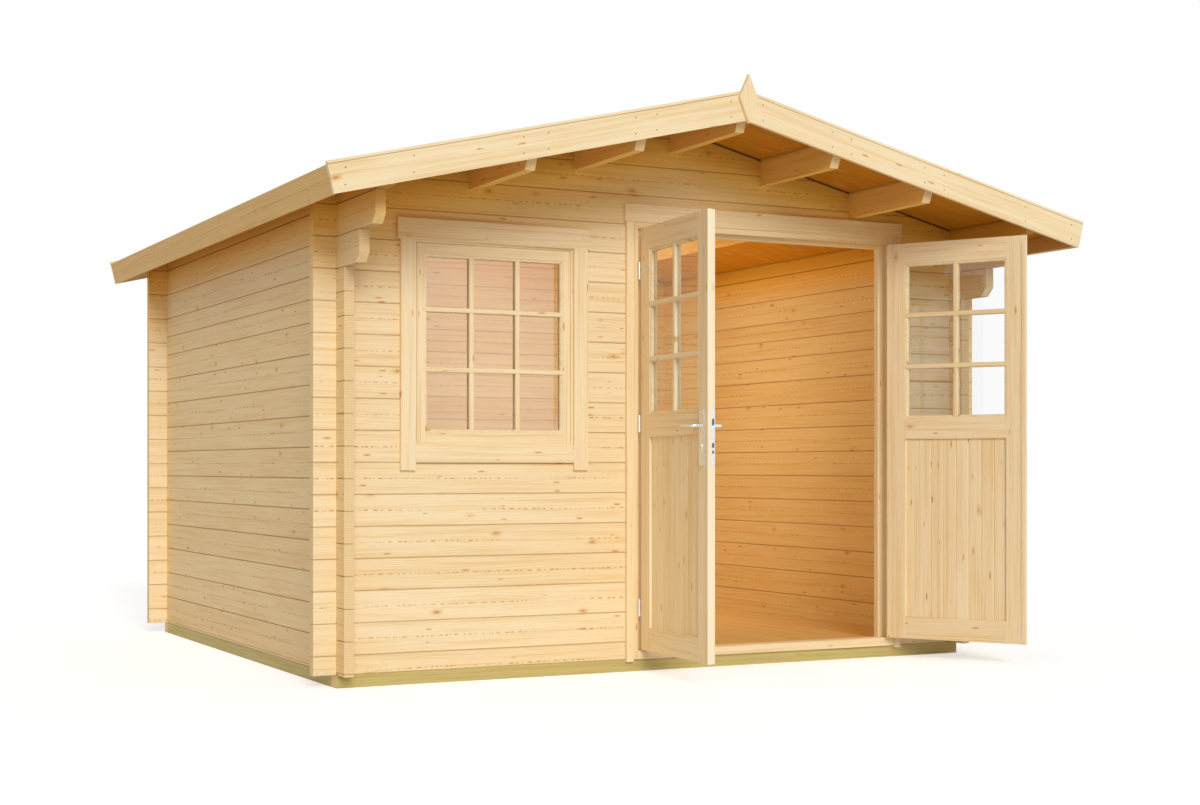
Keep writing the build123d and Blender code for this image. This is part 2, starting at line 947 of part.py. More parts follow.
sash_inset = window_frame_width + sash_gap
sash_left = window_left + sash_inset
sash_right = window_right - sash_inset
sash_bottom = window_bottom + window_frame_width + seat_gap
sash_top = window_top - sash_inset
with BuildPart() as window_sash:
    four_sided(
        sash_left,
        sash_right,
        sash_bottom,
        sash_top,
        sash_stile,
        sash_bottom_rail,
        sash_top_rail,
        window_front,
        sash_depth,
    )
export(window_sash, "window_sash")

pane_front = window_front + (sash_depth - pane_thickness) / 2
with BuildPart() as window_glass:
    block(
        sash_left + sash_stile + seat_gap,
        sash_right - sash_stile - seat_gap,
        pane_front,
        pane_front + pane_thickness,
        sash_bottom + sash_bottom_rail + seat_gap,
        sash_top - sash_top_rail - seat_gap,
    )
export(window_glass, "window_glass")

trim_back = window_front - seat_gap
trim_front = trim_back - window_trim_thickness
trim_inner_left = window_left + window_trim_overlap
trim_inner_right = window_right - window_trim_overlap
trim_sill_top = window_bottom + window_trim_overlap
trim_sill_bottom = trim_sill_top - window_bottom_trim
trim_head_bottom = window_top - window_trim_overlap
with BuildPart() as window_casing:
    block(
        trim_inner_left - window_trim_width,
        trim_inner_left,
        trim_front,
        trim_back,
        trim_sill_bottom - window_trim_tail,
        trim_head_bottom - seat_gap,
    )
    block(
        trim_inner_right,
        trim_inner_right + window_trim_width,
        trim_front,
        trim_back,
        trim_sill_bottom - window_trim_tail,
        trim_head_bottom - seat_gap,
    )
    block(
        trim_inner_left + seat_gap,
        trim_inner_right - seat_gap,
        trim_front,
        trim_back,
        trim_sill_bottom,
        trim_sill_top,
    )
    block(
        trim_inner_left - window_trim_width - window_header_overhang,
        trim_inner_right + window_trim_width + window_header_overhang,
        trim_front,
        trim_back,
        trim_head_bottom,
        trim_head_bottom + window_header_height,
    )
export(window_casing, "window_casing")
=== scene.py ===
# %% [markdown]
# # A garden log cabin in pale spruce
# The cabin comes from the CAD model as a fixed frame: logs, beams, roof, doors and window are already
# in place. This lesson dresses it. Each step names a piece or a finish of the real cabin, says how it
# could be made, and why this way was chosen. All lengths are in metres, in the CAD model's own frame.

import math

import bpy
import numpy as np
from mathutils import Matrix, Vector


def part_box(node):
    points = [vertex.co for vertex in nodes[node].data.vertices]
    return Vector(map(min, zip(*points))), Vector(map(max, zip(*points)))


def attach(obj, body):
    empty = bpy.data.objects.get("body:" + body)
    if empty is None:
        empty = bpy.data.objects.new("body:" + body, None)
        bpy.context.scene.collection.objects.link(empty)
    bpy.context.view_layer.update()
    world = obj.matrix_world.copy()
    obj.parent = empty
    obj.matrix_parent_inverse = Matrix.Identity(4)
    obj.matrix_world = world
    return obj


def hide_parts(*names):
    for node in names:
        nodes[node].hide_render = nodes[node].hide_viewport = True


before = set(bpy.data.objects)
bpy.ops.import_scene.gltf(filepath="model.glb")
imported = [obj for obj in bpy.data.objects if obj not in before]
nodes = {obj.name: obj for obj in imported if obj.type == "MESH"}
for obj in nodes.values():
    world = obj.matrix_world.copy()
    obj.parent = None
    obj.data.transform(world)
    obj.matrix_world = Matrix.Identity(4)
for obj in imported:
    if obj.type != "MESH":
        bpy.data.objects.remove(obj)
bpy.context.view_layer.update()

# %% [markdown]
# ## The camera
# The photograph was taken at about chest height, turned 27 degrees to the right of the cabin's depth.
# The camera is kept level, so that the logs' ends stay upright, and the picture is shifted up a little
# instead of tilting. That keeps the vertical lines parallel, as they are in the photograph.

# %% Place the camera
IMAGE_WIDTH = 1200
IMAGE_HEIGHT = 805
FOCAL_PIXELS = 1811.14
HORIZON_ROW = 467.81
CAMERA_PLACE = (-4.0948, -8.7063, 0.9224)
CAMERA_TURN = -27.17

camera_data = bpy.data.cameras.new("cabin_view")
camera_data.sensor_width = 36.0
camera_data.sensor_fit = "HORIZONTAL"
camera_data.lens = FOCAL_PIXELS * camera_data.sensor_width / IMAGE_WIDTH
camera_data.shift_y = (HORIZON_ROW - IMAGE_HEIGHT / 2) / IMAGE_WIDTH
camera = bpy.data.objects.new("cabin_view", camera_data)
camera.location = CAMERA_PLACE
camera.rotation_euler = (math.radians(90), 0, math.radians(CAMERA_TURN))
bpy.context.scene.collection.objects.link(camera)
bpy.context.scene.camera = camera
bpy.context.scene.view_settings.view_transform = "Standard"
print("lens", round(camera_data.lens, 2), "mm, shift", round(camera_data.shift_y, 4))

# %% [markdown]
# ## Light and floor
# A cabin in a catalogue stands in even light, as under a bright overcast sky. The sky is a plain world
# colour. What the lens, the glass and the metal see of it is white, while the wood is lit by less, so
# that the colours come out about as they are written.

# %% The sky
SKY_LIGHT = 0.46
WHITE = (1, 1, 1, 1)


def white_for_the_lens(tree, plain, lit):
    """Mix two shaders: plain for light that falls on things, lit for camera, glossy and glass rays."""
    path = tree.nodes.new("ShaderNodeLightPath")
    seen = tree.nodes.new("ShaderNodeMath")
    seen.operation = "MAXIMUM"
    either = tree.nodes.new("ShaderNodeMath")
    either.operation = "MAXIMUM"
    tree.links.new(path.outputs["Is Camera Ray"], seen.inputs[0])
    tree.links.new(path.outputs["Is Glossy Ray"], seen.inputs[1])
    tree.links.new(seen.outputs[0], either.inputs[0])
    tree.links.new(path.outputs["Is Transmission Ray"], either.inputs[1])
    mixed = tree.nodes.new("ShaderNodeMixShader")
    tree.links.new(either.outputs[0], mixed.inputs[0])
    tree.links.new(plain.outputs[0], mixed.inputs[1])
    tree.links.new(lit.outputs[0], mixed.inputs[2])
    return mixed


sky = bpy.data.worlds.new("overcast_sky")
sky.use_nodes = True
sky_tree = sky.node_tree
sky_tree.nodes.clear()
sky_glow = sky_tree.nodes.new("ShaderNodeBackground")
sky_glow.inputs["Color"].default_value = WHITE
sky_glow.inputs["Strength"].default_value = SKY_LIGHT
sky_white = sky_tree.nodes.new("ShaderNodeBackground")
sky_white.inputs["Color"].default_value = WHITE
sky_out = sky_tree.nodes.new("ShaderNodeOutputWorld")
sky_mix = white_for_the_lens(sky_tree, sky_glow, sky_white)
sky_tree.links.new(sky_mix.outputs[0], sky_out.inputs["Surface"])
bpy.context.scene.world = sky
print("sky light", SKY_LIGHT)

# %% [markdown]
# One large soft lamp stands in front, a little to the left and not high, so that its light also reaches
# under the roof and makes the front brighter than the left wall. An area lamp would do the same near by,
# but a sun lamp with a wide angle lights the whole cabin evenly. A large soft ball of light fills the room.

# %% The lamps
FRONT_LAMP_STRENGTH = 1.66
FRONT_LAMP_WIDTH, FRONT_LAMP_TILT, FRONT_LAMP_TURN = 24, 66, -14
ROOM_LAMP_WATTS = 32.0
ROOM_LAMP_PLACE = (0.35, 0.25, 1.55)
ROOM_LAMP_RADIUS = 0.6

key_data = bpy.data.lights.new("front_lamp", "SUN")
key_data.energy = FRONT_LAMP_STRENGTH
key_data.angle = math.radians(FRONT_LAMP_WIDTH)
key_lamp = bpy.data.objects.new("front_lamp", key_data)
key_lamp.rotation_euler = (math.radians(FRONT_LAMP_TILT), 0, math.radians(FRONT_LAMP_TURN))
bpy.context.scene.collection.objects.link(key_lamp)

room_data = bpy.data.lights.new("room_lamp", "POINT")
room_data.shadow_soft_size = ROOM_LAMP_RADIUS
room_data.energy = ROOM_LAMP_WATTS
room_lamp = bpy.data.objects.new("room_lamp", room_data)
room_lamp.location = ROOM_LAMP_PLACE
for seen_by in ("visible_camera", "visible_glossy", "visible_transmission"):
    setattr(room_lamp, seen_by, False)
bpy.context.scene.collection.objects.link(room_lamp)
print("front lamp", FRONT_LAMP_STRENGTH, "and room lamp", ROOM_LAMP_WATTS, "watts")

# %% [markdown]
# The floor is one wide sheet. For the lens it glows a little, which lets it run into the white background,
# and it still keeps the shadow.

# %% The floor
FLOOR_REACH = 40.0
FLOOR_PALE = 0.86
FLOOR_GLOW = 0.46

floor_mesh = bpy.data.meshes.new("studio_floor")
corners = FLOOR_REACH * np.array([(-1, -1, 0), (1, -1, 0), (1, 1, 0), (-1, 1, 0)])
floor_mesh.from_pydata(corners.tolist(), [], [(0, 1, 2, 3)])
studio_floor = bpy.data.objects.new("studio_floor", floor_mesh)
bpy.context.scene.collection.objects.link(studio_floor)
floor_paint = bpy.data.materials.new("pale_floor")
floor_paint.use_nodes = True
floor_tree = floor_paint.node_tree
floor_tree.nodes.clear()
floor_matt = floor_tree.nodes.new("ShaderNodeBsdfDiffuse")
floor_matt.inputs["Color"].default_value = (FLOOR_PALE, FLOOR_PALE, FLOOR_PALE, 1)
floor_glow = floor_tree.nodes.new("ShaderNodeEmission")
floor_glow.inputs["Strength"].default_value = FLOOR_GLOW
floor_lit = floor_tree.nodes.new("ShaderNodeAddShader")
floor_tree.links.new(floor_matt.outputs[0], floor_lit.inputs[0])
floor_tree.links.new(floor_glow.outputs[0], floor_lit.inputs[1])
floor_out = floor_tree.nodes.new("ShaderNodeOutputMaterial")
floor_mix = white_for_the_lens(floor_tree, floor_matt, floor_lit)
floor_tree.links.new(floor_mix.outputs[0], floor_out.inputs["Surface"])
floor_mesh.materials.append(floor_paint)
print("floor", 2 * FLOOR_REACH, "m wide")

# %% [markdown]
# ## Spruce
# Planed spruce is cream, with soft yellow growth rings that run along the plank, fine fibres, small
# orange-brown knots, and a little difference in tone from plank to plank. It could be a photograph laid
# on the wood, but a pattern worked out from place is sharp at any distance and needs no picture. Every
# plank gets three numbers: how far along the grain, how far across the face, and how deep. The rings,
# fibres and knots are all read from those. Colours are written as they look on a screen.

# %% Colours as on a screen


def tone(red, green, blue):
    """A colour written as on a screen, 0 to 255, turned into the linear light that shaders use."""
    screen = np.array([red, green, blue]) / 255.0
    linear = np.where(screen <= 0.04045, screen / 12.92, ((screen + 0.055) / 1.055) ** 2.4)
    return (*linear.tolist(), 1.0)


print("mid grey 128 is", round(tone(128, 128, 128)[0], 3), "in linear light")

# %% [markdown]
# A finish is a chain of small steps: sums, noise, blends. Setting up each step takes several lines, so each
# kind gets a short word here. The finishes below then read nearly like the sums they are.

# %% Short words for shader steps


class Finish:
    """One material under construction, with a short method for each kind of step."""

    def __init__(self, name):
        self.material = bpy.data.materials.new(name)
        self.material.use_nodes = True
        self.tree = self.material.node_tree
        self.tree.nodes.clear()
        self.shader = self.tree.nodes.new("ShaderNodeBsdfPrincipled")
        output = self.tree.nodes.new("ShaderNodeOutputMaterial")
        self.tree.links.new(self.shader.outputs[0], output.inputs["Surface"])
        self.coordinates = self.tree.nodes.new("ShaderNodeTexCoord")

    def put(self, socket, value):
        """Link a socket, or write a plain value on it."""
        if isinstance(value, bpy.types.NodeSocket):
            self.tree.links.new(value, socket)
        elif value is not None:
            socket.default_value = value

    def calc(self, operation, a, b=None, c=None):
        step = self.tree.nodes.new("ShaderNodeMath")
        step.operation = operation
        for socket, value in zip(step.inputs, (a, b, c)):
            self.put(socket, value)
        return step.outputs[0]

    def times(self, a, b):
        return self.calc("MULTIPLY", a, b)

    def plus(self, a, b):
        return self.calc("ADD", a, b)

    def minus(self, a, b):
        return self.calc("SUBTRACT", a, b)

    def times_plus(self, a, b, c):
        return self.calc("MULTIPLY_ADD", a, b, c)

    def split(self, vector):
        step = self.tree.nodes.new("ShaderNodeSeparateXYZ")
        self.put(step.inputs[0], vector)
        return step.outputs[0], step.outputs[1], step.outputs[2]

    def join(self, x, y, z):
        step = self.tree.nodes.new("ShaderNodeCombineXYZ")
        for socket, value in zip(step.inputs, (x, y, z)):
            self.put(socket, value)
        return step.outputs[0]

    def dot(self, vector, axis, origin=(0, 0, 0)):
        """How far a place lies from an origin along an axis."""
        less = self.tree.nodes.new("ShaderNodeVectorMath")
        less.operation = "SUBTRACT"
        self.put(less.inputs[0], vector)
        less.inputs[1].default_value = origin
        step = self.tree.nodes.new("ShaderNodeVectorMath")
        step.operation = "DOT_PRODUCT"
        self.put(step.inputs[0], less.outputs[0])
        step.inputs[1].default_value = axis
        return step.outputs["Value"]

    def noise(self, vector, detail=2.0, roughness=0.5):
        step = self.tree.nodes.new("ShaderNodeTexNoise")
        self.put(step.inputs["Vector"], vector)
        step.inputs["Scale"].default_value = 1.0
        step.inputs["Detail"].default_value = detail
        step.inputs["Roughness"].default_value = roughness
        return step.outputs[0]

    def chance(self, number):
        """A random number from 0 to 1 that depends only on the number given."""
        step = self.tree.nodes.new("ShaderNodeTexWhiteNoise")
        step.noise_dimensions = "1D"
        self.put(step.inputs["W"], number)
        return step.outputs["Value"]

    def between(self, value, low, high, to_low=0.0, to_high=1.0):
        """A smooth step from to_low at low to to_high at high."""
        step = self.tree.nodes.new("ShaderNodeMapRange")
        step.interpolation_type = "SMOOTHSTEP"
        for socket, number in zip(step.inputs, (value, low, high, to_low, to_high)):
            self.put(socket, number)
        return step.outputs[0]

    def blend(self, share, first, second):
        """A colour between first at share 0 and second at share 1."""
        step = self.tree.nodes.new("ShaderNodeMix")
        step.data_type = "RGBA"
        self.put(step.inputs[0], share)
        self.put(step.inputs[6], first)
        self.put(step.inputs[7], second)
        return step.outputs[2]

    def stain_and_shade(self, share, colour, tint):
        """Multiply a colour by a tint, for a stain and for painted shade alike, so that the figure of the
        wood stays.
        """
        mixed = self.blend(share, colour, tint)
        mixed.node.blend_type = "MULTIPLY"
        return mixed

    def relief(self, height, strength, distance):
        step = self.tree.nodes.new("ShaderNodeBump")
        step.inputs["Strength"].default_value = strength
        step.inputs["Distance"].default_value = distance
        self.put(step.inputs["Height"], height)
        self.put(self.shader.inputs["Normal"], step.outputs[0])


print("steps:", [word for word in vars(Finish) if not word.startswith("_")])

# %% [markdown]
# The plank recipe comes next. Growth rings on a flat-sawn face are nearly straight lines that swing
# round the knots, so the ring count is the distance across the face, bent by slow noise and by the
# nearness of a knot. A sine of it gives the light and dark wood. Knots, and the smaller pips, come from
# cell patterns in which only some cells hold one. The tones are those of fresh, unstained spruce.

# %% The spruce recipe
RINGS_ACROSS, RINGS_DEEP = 640.0, 380.0
KNOT_CELLS = (4.2, 9.0)
PIP_CELLS = (5.5, 23.0)
CREAM = tone(249, 228, 186)
STRAW = tone(231, 190, 122)
KNOT_RIM = tone(224, 172, 98)
KNOT_CORE = tone(188, 124, 60)
PIP_ORANGE = tone(214, 156, 84)


def wood_finish(f, along, across, depth, plank, pale, ring, knots=1.0):
    """Colour, roughness and relief of a plank from its own directions and its number."""
    luck = f.chance(plank)
    more_luck = f.chance(f.plus(plank, 37.7))
    along = f.times_plus(luck, 9.0, along)
    across = f.times_plus(more_luck, 5.0, across)
    depth = f.times_plus(more_luck, 3.0, depth)

    def stretched(run, width, height):
        """A place for noise, with its own scale along, across and into the plank."""
        return f.join(f.times(along, run), f.times(across, width), f.times(depth, height))

    ragged = f.noise(stretched(60.0, 210.0, 0.0), detail=2.0)

    def scattered(run, width):
        """Cells on the plank's face: the distance to a cell's own point, and the cell's own luck."""
        cells = f.tree.nodes.new("ShaderNodeTexVoronoi")
        cells.voronoi_dimensions = "2D"
        bent = f.join(
            f.times_plus(ragged, 0.16, f.times(along, run)),
            f.times_plus(ragged, 0.10, f.times(across, width)),
            0.0,
        )
        f.put(cells.inputs["Vector"], bent)
        cells.inputs["Scale"].default_value = 1.0
        return cells.outputs["Distance"], f.split(cells.outputs["Color"])[0]

    near, cell_luck = scattered(*KNOT_CELLS)
    has_knot = f.between(cell_luck, 0.87, 0.92, 0.0, knots)
    pull = f.times(f.between(near, 0.0, 0.40, 1.0, 0.0), has_knot)

    slow = f.noise(stretched(0.7, 5.0, 5.0), detail=2.0)
    count = f.plus(f.times(across, RINGS_ACROSS), f.times(depth, RINGS_DEEP))
    count = f.times_plus(slow, 70.0, count)
    count = f.times_plus(pull, 12.0, count)
    rings = f.calc("POWER", f.times_plus(f.calc("SINE", count), 0.5, 0.5), 2.0)
    streaks = f.noise(stretched(1.6, 55.0, 55.0), detail=3.0, roughness=0.6)
    fibres = f.noise(stretched(9.0, 460.0, 460.0), detail=2.0, roughness=0.6)
    patches = f.noise(stretched(1.9, 11.0, 11.0), detail=3.0)
    figure = f.times(rings, f.between(patches, 0.32, 0.72, 0.08, 0.36))
    figure = f.times_plus(f.between(streaks, 0.40, 0.74), 0.50, figure)
    figure = f.times_plus(f.between(fibres, 0.40, 0.75), 0.20, figure)
    figure = f.times_plus(f.minus(luck, 0.5), 0.24, figure)
    colour = f.blend(f.calc("MINIMUM", f.calc("MAXIMUM", figure, 0.0), 1.0), pale, ring)

    pip_near, pip_luck = scattered(*PIP_CELLS)
    has_pip = f.between(pip_luck, 0.66, 0.98, 0.0, 1.0)
    from_pip = f.calc("DIVIDE", pip_near, f.times(has_pip, 0.15))
    pip = f.times(f.between(from_pip, 0.25, 1.0, 1.0, 0.0), has_pip)
    colour = f.blend(pip, colour, PIP_ORANGE)
    rim = f.times(f.between(near, 0.04, 0.17, 0.80, 0.0), has_knot)
    core = f.times(f.between(near, 0.02, 0.060, 0.9, 0.0), has_knot)
    colour = f.blend(rim, colour, KNOT_RIM)
    colour = f.blend(core, colour, KNOT_CORE)
    height = f.times_plus(fibres, 0.6, f.times(rings, 0.35))
    f.put(f.shader.inputs["Roughness"], f.between(fibres, 0.2, 0.8, 0.54, 0.70))
    f.shader.inputs["Specular IOR Level"].default_value = 0.25
    f.relief(height, 0.20, 0.0006)
    return colour


print("knot cells are", [round(1000 / number) for number in KNOT_CELLS], "mm along and across the plank")

# %% [markdown]
# Two more touches lie over the plank. Close under the roof the wood is a deeper honey, partly a stain and
# partly painted shade; in the last 15 cm a darker honey-brown adds painted shade, and a thin dark line paints
# the shadow in the gap where the wood meets the roof boards. The depth below the roof follows from the
# roof's slope. Where a face is sawn across the grain, fine lines take the place of the figure.

# %% Wood under the roof and sawn ends
ROOF_PITCH = math.radians(13.4)
ROOF_SLOPE = math.tan(ROOF_PITCH)
WALL_HALF = 1.62
EAVE_UNDER = 2.0975
APEX_UNDER = EAVE_UNDER + WALL_HALF * ROOF_SLOPE
# The honey tint is partly a stain and partly painted shade; the darker honey-brown is painted shade; the gap
# colour paints the shadow line under the roof boards.
HONEY_STAIN_AND_SHADE = (1.00, 0.72, 0.075, 1)
ROOF_SHADE_HONEY = tone(158, 100, 28)
SHADOW_GAP = tone(64, 42, 16)
SAWN_PALE, SAWN_DARK = tone(243, 214, 164), tone(228, 190, 134)


def under_roof(f, colour, share=0.9, reach=0.44, gap=0.4):
    """Wood close under the roof boards gets a deeper honey, partly stain and partly painted shade, a darker
    painted shade nearest them, and a painted shadow line where it meets them.
    """
    x, _, z = f.split(f.coordinates.outputs["Object"])
    roof = f.minus(APEX_UNDER, f.times(f.calc("ABSOLUTE", x), ROOF_SLOPE))
    below = f.minus(roof, z)
    # Painted shade: a honey tint towards the roof, a darker honey-brown in the last 15 cm, and a painted
    # shadow line at the roof boards.
    colour = f.stain_and_shade(f.between(below, 0.02, reach, share, 0.0), colour, HONEY_STAIN_AND_SHADE)
    colour = f.blend(f.between(below, 0.0, 0.15, 0.50 * share, 0.0), colour, ROOF_SHADE_HONEY)
    return f.blend(f.between(below, 0.006, 0.012, gap, 0.0), colour, SHADOW_GAP)


def end_grain(f, colour, axis, place):
    """Fine sawn lines in two tones where a face looks along the grain."""
    facing = f.calc("ABSOLUTE", f.dot(f.coordinates.outputs["Normal"], axis))
    cut = f.between(facing, 0.80, 0.92)
    wave = f.times_plus(f.calc("SINE", f.times(place, 900.0)), 0.5, 0.5)
    sawn = f.blend(wave, SAWN_PALE, SAWN_DARK)
    return f.blend(cut, colour, sawn)


print("roof boards meet", round(APEX_UNDER, 3), "m above the ground")

# %% [markdown]
# ## The logs
# A wall log is 135 mm high, so its number is the height divided by that. Front and back logs run along
# X. Side logs run along Y and sit half a course higher, up to two squat logs that bring the corbels level
# with the front.

# %% Numbers of the logs
LOG_COURSE = 0.135
SQUAT_COURSE = 0.75 * LOG_COURSE
SQUAT_START, CORBEL_START = 1.5525, 1.755


def log_steps(f, z, runs_along_x):
    """Log number and height within it: side logs have two low courses, then lie level with the front."""
    even = f.calc("DIVIDE", z, LOG_COURSE)
    if runs_along_x:
        return even
    low = f.minus(even, 0.5)
    squat = f.times_plus(f.minus(z, SQUAT_START), 1 / SQUAT_COURSE, 11.0)
    in_squat = f.calc("GREATER_THAN", z, SQUAT_START)
    in_corbel = f.calc("GREATER_THAN", z, CORBEL_START)
    lower = f.times(low, f.minus(1.0, in_squat))
    middle = f.times(squat, f.minus(in_squat, in_corbel))
    return f.plus(f.plus(lower, middle), f.times(even, in_corbel))


print("two squat logs reach from", SQUAT_START, "to", SQUAT_START + 2 * SQUAT_COURSE)

# %% [markdown]
# Each log of the real cabin shows a row of small brown flecks along the middle of its face, where the
# heart of the tree lies just under the surface, and a dark line where two logs meet. Inside and under the
# roof the wood keeps a deeper honey tone, partly a stain and partly painted shade. The side logs get a
# slightly deeper tone and darker joint lines than the front ones; that difference is painted shade.

# %% Finishes of the wall logs
ROOM_X, ROOM_Y = 1.575, 1.425
# Deeper honey inside the room: partly a stain, partly painted shade.
ROOM_STAIN_AND_SHADE = (0.81, 0.70, 0.045, 1)
JOINT_BROWN = tone(134, 80, 24)
FLECK_BROWN = tone(190, 124, 58)
# Side logs: a slightly deeper, more saturated copy of the front logs' tones, as painted shade.
SIDE_SHADE_PALE, SIDE_SHADE_RING = tone(245, 216, 164), tone(230, 186, 118)


def heart_flecks(f, colour, along, from_heart, plank):
    """Small brown dashes in a row along the heart line, which sways a little; from_heart is in courses."""
    sway = f.noise(f.join(f.times(along, 3.0), plank, 0.0), detail=1.0)
    off_heart = f.calc("ABSOLUTE", f.times_plus(f.minus(sway, 0.5), 0.08, from_heart))
    heart = f.between(off_heart, 0.008, 0.026, 1.0, 0.0)
    flecks = f.noise(f.join(f.times(along, 46.0), plank, 0.0), detail=1.0)
    runs = f.noise(f.join(f.times(along, 2.2), plank, 7.0), detail=1.0)
    fleck = f.times(f.between(flecks, 0.46, 0.56), f.between(runs, 0.36, 0.56))
    return f.blend(f.times(f.times(fleck, heart), 0.8), colour, FLECK_BROWN)


def log_finish(name, runs_along_x):
    """Spruce log whose number comes from its course, with heart flecks, dark joints and a honey inside that
    is partly stain and partly painted shade.
    """
    f = Finish(name)
    x, y, z = f.split(f.coordinates.outputs["Object"])
    along, deep = (x, y) if runs_along_x else (y, x)
    step = log_steps(f, z, runs_along_x)
    side = f.times(f.calc("SIGN", deep), 53.0)
    plank = f.plus(f.calc("FLOOR", step), side)
    # Painted shade: side logs take the deeper, shaded copy of the tones.
    pale, ring = (CREAM, STRAW) if runs_along_x else (SIDE_SHADE_PALE, SIDE_SHADE_RING)
    colour = wood_finish(f, along, z, deep, plank, pale, ring, knots=0.8)

    from_heart = f.minus(f.calc("FRACT", step), 0.5)
    from_middle = f.calc("ABSOLUTE", from_heart)
    colour = heart_flecks(f, colour, along, from_heart, plank)

    # Painted shade: inside the room the logs are tinted a deeper honey, partly a stain of the wood and partly
    # standing for the room's shade.
    inside_x = f.between(f.calc("ABSOLUTE", x), ROOM_X - 0.005, ROOM_X + 0.005, 1.0, 0.0)
    inside_y = f.between(f.calc("ABSOLUTE", y), ROOM_Y - 0.005, ROOM_Y + 0.005, 1.0, 0.0)
    inside = f.times(inside_x, inside_y)
    colour = f.stain_and_shade(inside, colour, ROOM_STAIN_AND_SHADE)
    colour = end_grain(f, colour, (1, 0, 0) if runs_along_x else (0, 1, 0), z)
    # Side logs get a shorter honey reach, a weaker painted shadow line at the roof and darker joints; the
    # extra joint darkness is painted shade.
    reach, gap, dark = (0.50, 0.9, 0.35) if runs_along_x else (0.30, 0.4, 0.50)
    colour = under_roof(f, colour, reach=reach, gap=gap)
    colour = f.blend(f.between(from_middle, 0.478, 0.490, 0.0, dark), colour, JOINT_BROWN)
    f.put(f.shader.inputs["Base Color"], colour)
    return f.material


def dress(material, *names):
    """Give CAD nodes one finish in place of the plain one they came with."""
    for name in names:
        nodes[name].data.materials.clear()
        nodes[name].data.materials.append(material)
    print(material.name, "on", len(names), "CAD nodes")


front_log_spruce = log_finish("front_log_spruce", True)
side_log_spruce = log_finish("side_log_spruce", False)
dress(
    front_log_spruce,
    "front_wall_left_logs",
    "front_wall_right_logs",
    "back_wall_logs",
    "front_gable_logs",
    "back_gable_logs",
)
dress(side_log_spruce, "left_wall_logs", "right_wall_logs", "left_eave_log", "right_eave_log")

# %% [markdown]
# ## Boards, purlins and trim
# Every other board is one straight plank, so all it needs is the direction of its grain. A jamb stands,
# a threshold lies, a barge board climbs with the roof. The fascia shows heart flecks, as the logs do.

# %% Finishes of the straight boards


def board_finish(name, direction, plank_width, pale=CREAM, ring=STRAW, knots=0.7, shade=0.0, heart=None):
    """A straight board along X, Y or Z; its number counts steps of plank_width across it."""
    f = Finish(name)
    x, y, z = f.split(f.coordinates.outputs["Object"])
    order = {"X": (x, z, y), "Y": (y, z, x), "Z": (z, x, y)}[direction]
    along, across, deep = order
    counted = f.calc("FLOOR", f.calc("DIVIDE", across, plank_width))
    layer = f.calc("FLOOR", f.times_plus(deep, 1 / 0.3, 0.5))
    plank = f.times_plus(layer, 7.0, counted)
    colour = wood_finish(f, along, across, deep, plank, pale, ring, knots)
    if heart:
        from_heart = f.calc("DIVIDE", f.minus(across, heart), LOG_COURSE)
        colour = heart_flecks(f, colour, along, from_heart, plank)
    axis = {"X": (1, 0, 0), "Y": (0, 1, 0), "Z": (0, 0, 1)}[direction]
    colour = under_roof(f, colour, shade) if shade else colour
    f.put(f.shader.inputs["Base Color"], end_grain(f, colour, axis, across))
    return f.material


CAP_STRIP = 0.0411


def slope_finish(name):
    """A board that climbs with the roof: across is the height above the slope; a line marks the cap strip."""
    f = Finish(name)
    x, y, z = f.split(f.coordinates.outputs["Object"])
    above = f.times_plus(f.calc("ABSOLUTE", x), ROOF_SLOPE, z)
    plank = f.plus(f.calc("SIGN", x), f.times(f.calc("SIGN", y), 5.0))
    colour = wood_finish(f, x, above, y, plank, CREAM, STRAW, 0.9)
    from_cap = f.calc("ABSOLUTE", f.minus(above, APEX_UNDER + CAP_STRIP))
    colour = f.blend(f.between(from_cap, 0.0008, 0.0026, 0.6, 0.0), colour, JOINT_BROWN)
    f.put(f.shader.inputs["Base Color"], colour)
    return f.material


# The purlins' honey tone is partly their own and partly painted shade from the roof above them.
PURLIN_PALE, PURLIN_RING = tone(248, 206, 120), tone(228, 174, 84)
purlin_spruce = board_finish("purlin_spruce", "Y", 9.0, PURLIN_PALE, PURLIN_RING, shade=0.2)
dress(purlin_spruce, "left_purlins", "right_purlins", "ridge_purlin")
barge_spruce = slope_finish("barge_spruce")
dress(barge_spruce, "front_barge_boards", "back_barge_boards")
fascia_low, fascia_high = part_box("left_fascia")
fascia_heart = (fascia_low.z + fascia_high.z) / 2
# Painted shade: the fascia is a deeper, more saturated spruce, standing for the shade on a board that faces
# sideways and down.
FASCIA_PALE, FASCIA_RING = tone(230, 188, 120), tone(208, 158, 86)
fascia_spruce = board_finish("fascia_spruce", "Y", 5.0, FASCIA_PALE, FASCIA_RING, heart=fascia_heart)
dress(fascia_spruce, "left_fascia", "right_fascia")
standing_spruce = board_finish("standing_spruce", "Z", 0.5)
dress(standing_spruce, "front_finial", "back_finial", "door_jambs")
lying_spruce = board_finish("lying_spruce", "X", 0.5, shade=0.5)
dress(lying_spruce, "door_head", "door_threshold")

GREEN_BEAM = tone(206, 188, 122)
GREEN_RING = tone(176, 154, 84)
beam_green = board_finish("beam_green", "X", 1.0, GREEN_BEAM, GREEN_RING, 0.5)
dress(beam_green, "foundation_cross_beams", "floor_joists")
side_beam_green = board_finish("side_beam_green", "Y", 1.0, GREEN_BEAM, GREEN_RING, 0.5)
dress(side_beam_green, "foundation_side_beams")

# %% [markdown]
# ## Frames of stiles and rails
# The window and its casing hold upright and lying pieces in one node. A box in X marks where the rails
# are. Inside the box the grain runs along X, outside it along Z.

# %% Finishes of the window and the casings
# A painted highlight: the door leaves' edge faces are lightened towards this pale cream.
HIGHLIGHT_CREAM = tone(253, 240, 210)


